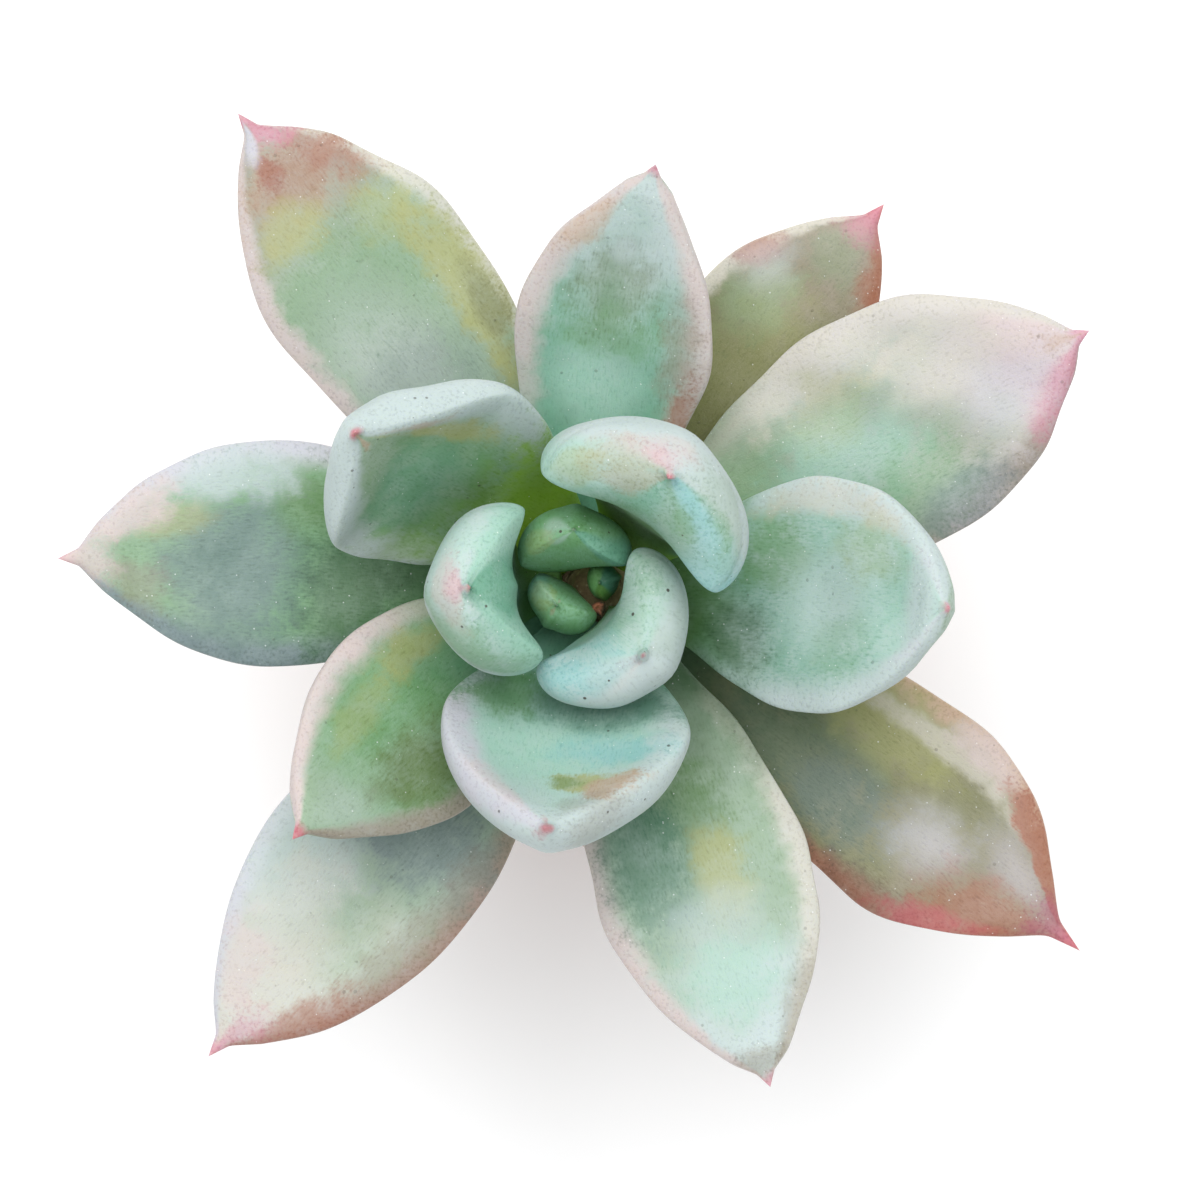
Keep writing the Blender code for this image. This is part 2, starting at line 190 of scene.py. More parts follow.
FLAT = (7.5, 15, 15)
LEAVES = {
    "leaf_01": Leaf(foot=60, foot_radius=5.0, foot_height=57, heading=55, sway=-5, length=44.5, rise=(6, 14),
                    width=19, thick=5.5, cup=FLAT, point=0.9),
    "leaf_02": Leaf(foot=-15, foot_radius=4.8, foot_height=59, heading=-36, sway=-5, length=57, rise=(4, 8),
                    width=21.5, thick=5.5, cup=FLAT, widest=0.66, narrow=0.3, flare=1.2, point=1.1, tip=3),
    "leaf_03": Leaf(foot=120, foot_radius=4.6, foot_height=60, heading=126, sway=3, length=56, rise=(6, 14),
                    width=22, thick=5.5, cup=FLAT, widest=0.62, flare=1.2),
    "leaf_04": Leaf(foot=240, foot_radius=4.5, foot_height=61, heading=230, sway=-1, length=57, rise=(6, 14),
                    width=22, thick=5.5, cup=FLAT, widest=0.58),
    "leaf_05": Leaf(foot=36, foot_radius=4.4, foot_height=62, heading=28, sway=-2, length=52.5, rise=(10, 22),
                    width=24.5, thick=6, cup=FLAT, point=0.82, tip=1.5),
    "leaf_06": Leaf(foot=155, foot_radius=4.2, foot_height=63, heading=173, sway=11, length=51, rise=(10, 20),
                    width=22.5, thick=6, cup=FLAT),
    "leaf_07": Leaf(foot=-67, foot_radius=4.1, foot_height=64, heading=-69, sway=-4, length=49.5, rise=(12, 20),
                    width=21.5, thick=6, cup=FLAT, widest=0.58, flare=1.1, tip=1.5),
    "leaf_08": Leaf(foot=93, foot_radius=4.0, foot_height=65, heading=88, sway=-15, length=43, rise=(18, 44),
                    width=20, thick=6, cup=(8, 30, 30), widest=0.57, point=1, roll=-6, tip=1.5),
    "leaf_09": Leaf(foot=205, foot_radius=3.8, foot_height=66, heading=212, sway=19, length=40, rise=(20, 46),
                    width=20.5, thick=6, cup=(8.5, 17, 17), widest=0.52, roll=-8),
    "leaf_10": Leaf(foot=0, foot_radius=3.7, foot_height=67, heading=0, sway=-8, length=40.5, rise=(24, 68),
                    width=23.5, thick=6.5, cup=(14, 20, 20), widest=0.56, point=0.72, roll=-4, tip=1.2),
    "leaf_11": Leaf(foot=122, foot_radius=3.6, foot_height=68, heading=140, sway=28, length=40, rise=(30, 86),
                    width=24, thick=6.2, cup=(6, 20, 60), widest=0.61, point=1.05, roll=-30, blunt=0.5),
    "leaf_12": Leaf(foot=267, foot_radius=3.4, foot_height=69, heading=257, sway=0, length=35.5, rise=(34, 95),
                    width=25.5, thick=7, cup=(17, 42, 48), widest=0.5, narrow=0.3, point=0.87, roll=8,
                    curl=1.9, blunt=0.5),
    "leaf_13": Leaf(foot=46, foot_radius=4.0, foot_height=70.2, heading=61, sway=6, length=34.5, rise=(32, 109),
                    width=27, thick=9, cup=(4, 80, 30), widest=0.8, narrow=0.2, point=0.6, roll=-10,
                    belly=0.34, curl=0.8, blunt=0.44),
    "leaf_14": Leaf(foot=176, foot_radius=3.3, foot_height=70.5, heading=179, sway=19, length=31, rise=(-2, 114),
                    width=23.5, thick=8.3, cup=(39, 98, 78), widest=0.81, narrow=0.12, point=0.44, roll=-7,
                    belly=0.27, curl=0.58, thin=0.3),
    "leaf_15": Leaf(foot=-53, foot_radius=3.5, foot_height=74, heading=-58, sway=9, length=17.3, rise=(54, 93),
                    width=21, thick=7.8, cup=(57, 88, 34), widest=0.64, narrow=0.13, point=0.52, roll=14,
                    belly=0.47, curl=0.8, blunt=0.5),
    "leaf_16": Leaf(foot=121, foot_radius=3.1, foot_height=75.5, heading=113, sway=-27, length=14, rise=(77, 76),
                    width=11, thick=5.3, cup=(7, 40, 53), widest=0.54, narrow=0.18, point=0.72, roll=-9,
                    belly=0.69, thin=0.36, blunt=0.64, tip=0.8, tip_girth=0.6),
    "leaf_17": Leaf(foot=192, foot_radius=2.5, foot_height=74.3, heading=211, sway=10, length=8.8, rise=(74, 83),
                    width=7, thick=4.5, cup=(2, 28, 30), widest=0.54, narrow=0.23, point=0.35, roll=18,
                    belly=0.65, curl=0.9, thin=0.46, tip=0.8, tip_girth=0.5),
    "leaf_18": Leaf(foot=60, foot_radius=0.8, foot_height=75.6, heading=18, sway=-4, length=5, rise=(90, 93),
                    width=3.4, thick=2.9, cup=(8, 0, 24), widest=0.35, narrow=0.44, point=0.8, tip=0.5,
                    tip_girth=0.4),
    "leaf_19": Leaf(foot=-84, foot_radius=1.75, foot_height=75.8, heading=-65, sway=0, length=4, rise=(90, 95),
                    width=1.3, thick=1.2, cup=(0, 0, 0), widest=0.45, point=0.6, tip=0.5, tip_girth=0.3),
}
print("measured", len(LEAVES), "leaves, the longest", max(leaf.length for leaf in LEAVES.values()), "mm")


# %% The middle line of a leaf
def midline(leaf, along):
    """The leaf's middle line at shares `along` of its length, with its sideways and upward directions.

    Its steepness goes from rise[0] to rise[1] with the share raised to the power curl, and its heading
    turns evenly by sway.  Walking along those directions from the foot gives the line.
    """
    fine = np.linspace(0, 1, 401)
    steep = np.radians(leaf.rise[0] + (leaf.rise[1] - leaf.rise[0]) * fine ** leaf.curl)
    heading = np.radians(leaf.heading + leaf.sway * fine)
    ahead = np.stack([np.cos(steep) * np.cos(heading), np.cos(steep) * np.sin(heading), np.sin(steep)], 1)
    step = leaf.length / (len(fine) - 1)
    walk = np.vstack([np.zeros(3), np.cumsum((ahead[1:] + ahead[:-1]) / 2 * step, axis=0)])
    foot = math.radians(leaf.foot)
    start = np.array([leaf.foot_radius * math.cos(foot), leaf.foot_radius * math.sin(foot), leaf.foot_height])
    centre = np.stack([np.interp(along, fine, (walk + start)[:, i]) for i in range(3)], 1)
    ahead = np.stack([np.interp(along, fine, ahead[:, i]) for i in range(3)], 1)
    ahead /= np.linalg.norm(ahead, axis=1, keepdims=True)
    level = np.interp(along, fine, heading)
    side = np.stack([-np.sin(level), np.cos(level), np.zeros_like(level)], 1)
    up = np.cross(ahead, side)
    turn = (np.radians(leaf.roll) * np.sin(math.pi / 2 * np.clip(along / 0.5, 0, 1)))[:, None]
    return centre, side * np.cos(turn) + up * np.sin(turn), up * np.cos(turn) - side * np.sin(turn)


# %% The girth of a leaf
def girth(leaf, along):
    """Half the leaf's width and its whole thickness at shares `along` of its length.

    Both grow on a quarter sine from the foot to the widest place, then fall as (1 - fall^2) to a power,
    and blend into the soft spine at the tip.  A quarter circle closes them at the foot.
    """
    spine = leaf.tip / leaf.length
    blade = np.clip(along / (1 - spine), 0, 1)
    grow = np.sin(math.pi / 2 * np.clip(blade / leaf.widest, 0, 1))
    fall = np.clip((blade - leaf.widest) / (1 - leaf.widest), 0, 0.9999999)
    cone = leaf.tip_girth * np.clip((1 - along) / (2.2 * spine), 0, 1)
    closing = np.sqrt(1 - (1 - np.clip(along / 0.03, 0, 1)) ** 2)
    half = leaf.width / 2 * (leaf.narrow + (1 - leaf.narrow) * grow ** leaf.flare) * (1 - fall ** 2) ** leaf.point
    deep = leaf.thick * (leaf.thin + (1 - leaf.thin) * grow) * (1 - fall ** 2) ** leaf.blunt
    half = (half ** 2.4 + cone ** 2.4) ** (1 / 2.4)
    deep = (deep ** 3 + (1.5 * cone) ** 3) ** (1 / 3)
    return half * closing, deep * closing


# %% [markdown]
# ### The skin of a leaf
#
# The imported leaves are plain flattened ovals.  The living skin has more: a thin lip where the upper and the
# lower face meet, a faint keel down the underside, and a slow swell where water plumps it.  Two points are
# packed tightly near the edge and the tip, where the curve is sharpest, by spacing rings and points on cosines.
#
# Each point also carries its place on the leaf: along (0 at the foot, 1 at the tip), across (1 at the left edge,
# -1 at the right) and upper (1 on the upper face, -1 on the lower).  A map in millimetres lets fibres and
# powder keep one scale on every leaf.

# %% The skin of a leaf
LIP = 0.16          # mm that the edge stands proud
KEEL = 0.35         # mm that the keel stands out under the leaf
SWELL = 0.16        # mm of slow swell


def leaf_skin(leaf, ring_count, sides, seed):
    """Rings of points on a leaf, in millimetres, with its place values and its skin map.

    A ring is an oval (half width times cos, thickness times sin), split into an upper and a lower share, then
    curled onto an arc whose angle is interpolated from the leaf's cup.
    """
    along = (1 - np.cos(np.linspace(0, math.pi, ring_count))) / 2
    centre, side, up = midline(leaf, along)
    half, deep = girth(leaf, along)
    turn = np.linspace(0, 2 * math.pi, sides, endpoint=False)
    full = np.clip(half / (0.3 * leaf.width), 0, 1)[:, None]
    lip = LIP * full * np.exp(-(np.sin(turn) / 0.22) ** 2) * np.sign(np.cos(turn))
    across = half[:, None] * np.cos(turn) + lip
    share = np.where(np.sin(turn) > 0, 1 - leaf.belly, leaf.belly)
    height = deep[:, None] * share * np.sin(turn)
    height -= KEEL * full * np.exp(-(np.cos(turn) / 0.14) ** 2) * (np.sin(turn) < 0)
    curl = np.radians(np.interp(along, [0, leaf.widest, 1], leaf.cup))[:, None] + 1e-6
    arc = np.maximum(half, 1e-6)[:, None] / curl
    angle = across / arc
    sideways = (arc - height) * np.sin(angle)
    upward = arc - (arc - height) * np.cos(angle)
    rings = centre[:, None] + sideways[..., None] * side[:, None] + upward[..., None] * up[:, None]
    plump = SWELL * full * swell(rings, 9.0, seed)
    rings = rings + plump[..., None] * outward(rings)
    flat = np.broadcast_to(along[:, None], across.shape)
    place = {"along": flat, "across": np.cos(turn) + 0 * flat, "upper": np.sin(turn) + 0 * flat}
    return rings, place, np.stack([across, flat * leaf.length], axis=-1)


# %% Grow every leaf
leaf_skins = {}
for number, (node, leaf) in enumerate(LEAVES.items(), start=1):
    big = leaf.length > 12
    rings, place, skin_map = leaf_skin(leaf, 130 if big else 70, 112 if big else 64, seed=number)
    leaf_skins[node] = closed_skin(f"{node}_skin", rings * MM, place, skin_map)
    low, high = (np.array(corner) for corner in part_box(node))
    off = max(abs(rings.min(axis=(0, 1)) * MM - low).max(), abs(rings.max(axis=(0, 1)) * MM - high).max())
    print(f"{node}: {len(leaf_skins[node].data.polygons)} faces, within {off / MM:.2f} mm of its packed box")

# %% [markdown]
# ## The stem
#
# The stem is short, pale brown and ringed with the scars of leaves that it has shed.  It could be a tapered
# cylinder with bumps in the material, but the scars show in outline just above the soil, so they are modelled:
# the radius follows a soft taper, and each scar adds a small shelf that runs partway round.

# %% The stem
STEM_HEIGHTS = np.array([26, 29, 34, 40, 45, 51, 57, 60, 64, 68, 71, 73.5, 74.2, 74.8]) * MM
STEM_RADII = np.array([2.2, 3.6, 4.2, 4.3, 4.3, 4.3, 4.3, 4.0, 3.5, 3.0, 2.6, 2.4, 1.9, 1.0]) * MM
SCARS = 9
SCAR_DEPTH = 0.32 * MM
GOLDEN = math.radians(137.5)


def stem_rings(ring_count=150, sides=96):
    """Rings round the Z axis: the tapering radius, plus a shelf at each scar and a slow swell.

    A scar at height h and direction d adds depth * exp(-((z - h) / tall)^2) * (1 + cos(turn - d)) / 2.
    """
    low, high = (corner[2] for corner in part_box("stem"))
    ease = (1 - np.cos(np.linspace(0, math.pi, ring_count))) / 2
    height = low + (high - low) * ease
    turn = np.linspace(0, 2 * math.pi, sides, endpoint=False)
    radius = np.interp(height, STEM_HEIGHTS, STEM_RADII)[:, None] + 0 * turn
    for i in range(SCARS):
        scar = (45.5 + 1.3 * i) * MM
        shelf = np.exp(-((height - scar) / (0.5 * MM)) ** 2)[:, None]
        radius += SCAR_DEPTH * shelf * (1 + np.cos(turn - GOLDEN * i)) / 2
    ends = np.sqrt(np.clip(1 - np.abs(2 * ease - 1) ** 40, 0, 1))[:, None]
    radius *= ends
    rings = np.stack([radius * np.cos(turn), radius * np.sin(turn), height[:, None] + 0 * turn], axis=-1)
    return rings + (0.12 * MM * ends * swell(rings, 5 * MM, seed=40))[..., None] * outward(rings)


stem = closed_skin("stem_bark", stem_rings())
print("stem:", len(stem.data.polygons), "faces,", SCARS, "scars")

# %% [markdown]
# ## The pot
#
# Small clay pots are pressed or thrown on a wheel, so the shape is a profile carried round an axis.  The Screw
# modifier would do that too; working it out as an array lets the same step add the faint rings that the
# potter's fingers leave, and the slight wobble of fired clay.  The three drain holes are drilled with a
# Boolean, as they would be punched through wet clay, and the cutter is thrown away.

# %% The pot's profile
pot_low, pot_high = (np.array(corner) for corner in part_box("pot"))
POT_HEIGHT = pot_high[2] - pot_low[2]
RIM_RADIUS = (pot_high[0] - pot_low[0]) / 2
BAND = 11 * MM
WALL = 3.4 * MM
FLOOR = 4 * MM
FOOT_RADIUS = 19 * MM
NECK_RADIUS = 25 * MM


def wall_radius(height):
    """Outside of the wall at a height: a straight taper from foot to neck."""
    return FOOT_RADIUS + (NECK_RADIUS - FOOT_RADIUS) * height / (POT_HEIGHT - BAND)


def inside_radius(height):
    """Inside of the wall at a height."""
    return wall_radius(height) - WALL


def rounded(corners, fineness=6):
    """Round each corner (radius, height, rounding) of an outline with a short curve.

    A corner becomes the curve (1-t)^2 a + 2t(1-t) b + t^2 c, where b is the corner and a and c lie `rounding`
    away from it along its two sides.
    """
    points = np.array([corner[:2] for corner in corners], dtype=float)
    t = np.linspace(0, 1, fineness)[:, None]
    path = [points[:1]]
    for before, (corner, after), bend in zip(points, zip(points[1:], points[2:]), [c[2] for c in corners[1:]]):
        a = corner + (before - corner) / np.linalg.norm(before - corner) * bend
        c = corner + (after - corner) / np.linalg.norm(after - corner) * bend
        path.append((1 - t) ** 2 * a + 2 * t * (1 - t) * corner + t ** 2 * c)
    return np.vstack(path + [points[-1:]])


def evenly(path, step):
    """Walk along an outline in even steps, so that long straight sides get enough rings."""
    gone = np.concatenate([[0], np.cumsum(np.linalg.norm(np.diff(path, axis=0), axis=1))])
    stops = np.union1d(gone, np.arange(0, gone[-1], step))
    return np.stack([np.interp(stops, gone, path[:, i]) for i in range(2)], axis=-1)


def turned(profile, sides):
    """Carry a profile of (radius, height) round the Z axis, as rings of points."""
    turn = np.linspace(0, 2 * math.pi, sides, endpoint=False)
    radius, height = profile.T[:, :, None]
    return np.stack([radius * np.cos(turn), radius * np.sin(turn), height + 0 * turn], axis=-1)


# %% Turn the pot
band = POT_HEIGHT - BAND
corners = [
    (0, 0, 0), (FOOT_RADIUS, 0, 1.0 * MM), (NECK_RADIUS, band, 0.4 * MM), (RIM_RADIUS, band, 0.7 * MM),
    (RIM_RADIUS, POT_HEIGHT, 1.3 * MM), (inside_radius(band) + 1 * MM, POT_HEIGHT, 1.3 * MM),
    (inside_radius(band), band, 0.5 * MM), (inside_radius(FLOOR), FLOOR, 1.5 * MM), (0, FLOOR, 0),
]
pot_profile = evenly(rounded(corners), 1.2 * MM)
pot_rings = turned(pot_profile, 200)
outside = np.clip((np.hypot(pot_rings[..., 0], pot_rings[..., 1]) - 18 * MM) / MM, 0, 1)
finger_marks = np.sin(pot_rings[..., 2] / (1.9 * MM) + 2 * swell(pot_rings, 60 * MM, seed=51))
above_foot = np.clip(pot_rings[..., 2] / MM - 0.5, 0, 1)
pot_rings += ((0.035 * finger_marks - 0.05 + 0.05 * swell(pot_rings, 22 * MM, seed=52)) * MM
              * outside * above_foot)[..., None] * outward(pot_rings)
pot = closed_skin("clay_pot", pot_rings)
print("pot:", len(pot.data.polygons), "faces before drilling")

# %% Drill the drain holes
DRAIN_RADIUS = 3.5 * MM
DRAIN_CIRCLE = 11 * MM


def drill_drains(piece):
    """Cut three upright round holes through the floor and keep the result as the piece's own mesh."""
    rods = bmesh.new()
    for i in range(3):
        turn = math.radians(90 + 120 * i)
        rod = bmesh.ops.create_cone(rods, cap_ends=True, segments=64, radius1=DRAIN_RADIUS,
                                    radius2=DRAIN_RADIUS, depth=3 * FLOOR)
        place = (DRAIN_CIRCLE * math.cos(turn), DRAIN_CIRCLE * math.sin(turn), FLOOR / 2)
        bmesh.ops.translate(rods, verts=rod["verts"], vec=place)
    drill = show("drill", bpy.data.meshes.new("drill"))
    rods.to_mesh(drill.data)
    rods.free()
    cut = piece.modifiers.new("drain_holes", "BOOLEAN")
    cut.object = drill
    shaped = bpy.data.meshes.new_from_object(piece.evaluated_get(bpy.context.evaluated_depsgraph_get()))
    piece.modifiers.clear()
    piece.data = shaped
    bpy.data.objects.remove(drill)
    shaped.set_sharp_from_angle(angle=math.radians(40))


bpy.context.view_layer.update()
drill_drains(pot)
print("pot:", len(pot.data.polygons), "faces with three drain holes")

# %% [markdown]
# ## The soil and its grit
#
# Succulents grow in a gritty mix: dark peat with crumbs of bark and pale stones.  A bump map alone would look
# flat from the side, so the top of the soil is a lumpy surface, and hundreds of separate crumbs lie on it.
# Each crumb has only a few dozen faces.  All crumbs are worked out at once as one array: a small ball of points,
# squashed, turned and knocked out of shape by its own random numbers, and set down on a spiral.

# %% The soil
soil_low, soil_high = (np.array(corner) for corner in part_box("soil"))
SOIL_TOP = 44 * MM
SOCKET = 4.7 * MM


def soil_rings(sides=180):
    """Turned rings: flat bottom, the pot's taper, a lumpy top, and the socket that the stem stands in."""
    edge = inside_radius(SOIL_TOP) - 0.3 * MM
    bottom = soil_low[2]
    wide = inside_radius(bottom) - 0.3 * MM
    outline = [(0, bottom, 0), (wide, bottom, 1 * MM), (edge, SOIL_TOP, 0.6 * MM), (SOCKET, SOIL_TOP, 0.6 * MM),
               (SOCKET, 29 * MM, 0.5 * MM), (0, 26 * MM, 0)]
    rings = turned(evenly(rounded(outline), 0.45 * MM), sides)
    out = np.hypot(rings[..., 0], rings[..., 1])
    top = np.clip((rings[..., 2] - SOIL_TOP + 1 * MM) / MM, 0, 1) * np.clip((edge - out) / MM, 0, 1)
    lumps = 0.40 * swell(rings, 8 * MM, 61) + 0.16 * swell(rings, 2.6 * MM, 62) + 0.07 * swell(rings, 1 * MM, 63)
    rings[..., 2] += top * lumps * MM
    return rings


soil = closed_skin("soil_bed", soil_rings())
print("soil:", len(soil.data.polygons), "faces")

# %% Crumbs and stones on the soil
CRUMBS = 1100


def ball(rings=5, sides=7):
    """Points and faces of a small closed ball one unit in radius, from circles of latitude."""
    tilt = np.linspace(0, math.pi, rings + 2)[1:-1]
    turn = np.linspace(0, 2 * math.pi, sides, endpoint=False)
    points = np.stack([np.sin(tilt)[:, None] * np.cos(turn), np.sin(tilt)[:, None] * np.sin(turn),
                       -np.cos(tilt)[:, None] + 0 * turn], axis=-1).reshape(-1, 3)
    here = np.arange(sides)
    beside = (here + 1) % sides
    low, high = len(points), len(points) + 1
    rows = [np.stack([i * sides + here, i * sides + beside, (i + 1) * sides + beside], 1) for i in range(rings - 1)]
    rows += [np.stack([i * sides + here, (i + 1) * sides + beside, (i + 1) * sides + here], 1)
             for i in range(rings - 1)]
    rows += [np.stack([beside, here, np.full(sides, low)], 1)]
    rows += [np.stack([(rings - 1) * sides + here, (rings - 1) * sides + beside, np.full(sides, high)], 1)]
    return np.vstack([points, [(0, 0, -1), (0, 0, 1)]]), np.vstack(rows)


def scatter_crumbs(count, seed):
    """Centres of crumbs on a sunflower spiral over the soil: radius grows with the square root of the number."""
    chance = np.random.default_rng(seed)
    share = (np.arange(count) + 0.5) / count
    outer = inside_radius(SOIL_TOP) - 1.4 * MM
    inner = SOCKET + 0.6 * MM
    radius = np.sqrt(inner ** 2 + (outer ** 2 - inner ** 2) * share)
    turn = GOLDEN * np.arange(count) + chance.uniform(-0.2, 0.2, count)
    height = SOIL_TOP + 0.1 * MM * chance.normal(size=count)
    return np.stack([radius * np.cos(turn), radius * np.sin(turn), height], axis=-1)


def crumbs(name, count, size, seed):
    """Many crumbs in one mesh.  Crumb i is ball * stretch_i, turned by a random rotation, at its own centre."""
    chance = np.random.default_rng(seed)
    points, faces = ball()
    stretch = chance.uniform(0.5, 1.3, (count, 1, 3)) * size * chance.lognormal(0, 0.35, (count, 1, 1))
    bumps = 1 + chance.normal(0, 0.13, (count, len(points), 1))
    turn, _ = np.linalg.qr(chance.normal(size=(count, 3, 3)))
    turn *= np.sign(np.linalg.det(turn))[:, None, None]
    shaped = (points * bumps * stretch) @ turn
    places = scatter_crumbs(count, seed)[:, None]
    mesh = bpy.data.meshes.new(name)
    corner_rows = faces + (np.arange(count) * len(points))[:, None, None]
    mesh.from_pydata((shaped + places).reshape(-1, 3), [], corner_rows.reshape(-1, 3))
    shade = np.repeat(chance.uniform(0, 1, count), len(points))
    mesh.attributes.new("shade", "FLOAT", "POINT").data.foreach_set("value", shade.astype(np.float32))
    mesh.shade_smooth()
    return show(name, mesh)


grit = crumbs("soil_grit", CRUMBS, 0.55 * MM, seed=71)
print("grit:", CRUMBS, "crumbs,", len(grit.data.polygons), "faces")

# %% [markdown]
# ## Painting with node groups
#
# Colour on this plant comes in layers: green flesh, sun blush, a pale edge, a pink tip, and over all a bloom of
# white powder.  Image textures would need painting by hand; layered noise and masks that read each leaf's own
# coordinates give the same richness at any distance.  What several materials share is a node group with
# named inputs.  First come three small helpers that keep the node code short.


# %% Helpers for node trees
def node(tree, kind, inputs=None, **settings):
    """Add a node, set its settings, and fill inputs by name with a value or with another node's socket."""
    made = tree.nodes.new(kind)
    for key, value in settings.items():
        setattr(made, key, value)
    for key, value in (inputs or {}).items():
        plug(tree, made.inputs[key], value)
    return made


def plug(tree, socket, value):
    """Link a socket's source if it is one, or set it as a plain value."""
    if isinstance(value, bpy.types.NodeSocket):
        tree.links.new(value, socket)
    else:
        socket.default_value = value


def sums(tree, operation, a, b=0.0, clamp=False):
    """One step of arithmetic on two numbers."""
    return node(tree, "ShaderNodeMath", {0: a, 1: b}, operation=operation, use_clamp=clamp).outputs[0]


def mix(tree, share, a, b, mode="MIX"):
    """Blend colour b over colour a by a share."""
    made = node(tree, "ShaderNodeMix", data_type="RGBA", blend_type=mode)
    for index, value in ((0, share), (6, a), (7, b)):
        plug(tree, made.inputs[index], value)
    return made.outputs[2]


def ramp(tree, value, low, high, top=1.0):
    """0 below low, `top` above high, and a smooth step between; low may be the larger."""
    return node(tree, "ShaderNodeMapRange", {"Value": value, "From Min": low, "From Max": high, "To Max": top},
                interpolation_type="SMOOTHSTEP").outputs["Result"]


def leaf_place(tree, name):
    """One of the values that each leaf carries: along, across or upper."""
    return node(tree, "ShaderNodeAttribute", attribute_name=name).outputs["Fac"]


def new_group(name, inputs, outputs):
    """Start a shader node group with named inputs (name: default) and outputs (name: socket type)."""
    tree = bpy.data.node_groups.new(name, "ShaderNodeTree")
    for label, default in inputs.items():
        kind = "NodeSocketFloat" if isinstance(default, float) else "NodeSocketColor"
        tree.interface.new_socket(name=label, in_out="INPUT", socket_type=kind).default_value = default
    for label, kind in outputs.items():
        tree.interface.new_socket(name=label, in_out="OUTPUT", socket_type=kind)
    return tree, tree.nodes.new("NodeGroupInput").outputs, tree.nodes.new("NodeGroupOutput").inputs


def use(tree, group, inputs):
    """Place a group in a material and fill its inputs."""
    made = tree.nodes.new("ShaderNodeGroup")
    made.node_tree = group
    for key, value in inputs.items():
        plug(tree, made.inputs[key], value)
    return made.outputs


# %% [markdown]
# ### Grain that every leaf shares
#
# Under a lens the skin is never smooth: cloudy at a few millimetres, then a fine felt of wax, then dust.  All of
# it could come from one noise texture with many octaves, but each layer does a different job later, so a
# group works them out once, in the leaf's own space, and hands them on by name.


# %% Group: layers of grain
def texture_group():
    """Slow, Cloud, Fine and Grain: noise about 9, 2.6, 0.34 and 0.15 mm across.

    Fine turns into short fibres along the leaf on its flat faces: noise on the skin map, drawn out fourfold.
    """
    labels = ("Slow", "Cloud", "Fine", "Grain")
    tree, _, out = new_group("skin_texture", {}, {label: "NodeSocketFloat" for label in labels})
    place = node(tree, "ShaderNodeTexCoord").outputs["Object"]
    layers = {}
    for label, size, detail in zip(labels, (9.0, 2.6, 0.34, 0.15), (1.5, 4.0, 2.0, 1.0)):
        layers[label] = node(tree, "ShaderNodeTexNoise", {"Vector": place, "Scale": 1 / (size * MM),
                                                          "Detail": detail, "Roughness": 0.58}).outputs["Fac"]
    skin = node(tree, "ShaderNodeUVMap", uv_map="skin").outputs["UV"]
    drawn = node(tree, "ShaderNodeMapping", {"Vector": skin, "Scale": (1 / 0.24, 1 / 0.96, 1)}).outputs["Vector"]
    fibre = node(tree, "ShaderNodeTexNoise", {"Vector": drawn, "Scale": 1.0, "Detail": 2.0}).outputs["Fac"]
    face = ramp(tree, sums(tree, "ABSOLUTE", leaf_place(tree, "upper")), 0.3, 0.7)
    away = ramp(tree, leaf_place(tree, "along"), 0.92, 0.82)
    share = sums(tree, "MULTIPLY", sums(tree, "MULTIPLY", face, away), 0.6)
    fine = sums(tree, "ADD", sums(tree, "MULTIPLY", fibre, share),
                sums(tree, "MULTIPLY", layers["Fine"], sums(tree, "SUBTRACT", 1.0, share)))
    for label in labels:
        plug(tree, out[label], fine if label == "Fine" else layers[label])
    return tree


texture = texture_group()
print("group", texture.name, "has", len(texture.nodes), "nodes")

# %% [markdown]
# ### The colours of the flesh
#
# Along a leaf the colour runs from its sheltered foot to its sunlit end, and both edges are paler or pinker than
# the middle.  Hard borders would look printed, so the leaf's coordinates are pushed about by the slow noise
# first, and every border wanders.


# %% Group: flesh colours along and across a leaf
GREY = (0.5, 0.5, 0.5, 1.0)


def centred(tree, value, scale):
    """Noise moved to lie around 0 and scaled."""
    return sums(tree, "MULTIPLY", sums(tree, "SUBTRACT", value, 0.5), scale)


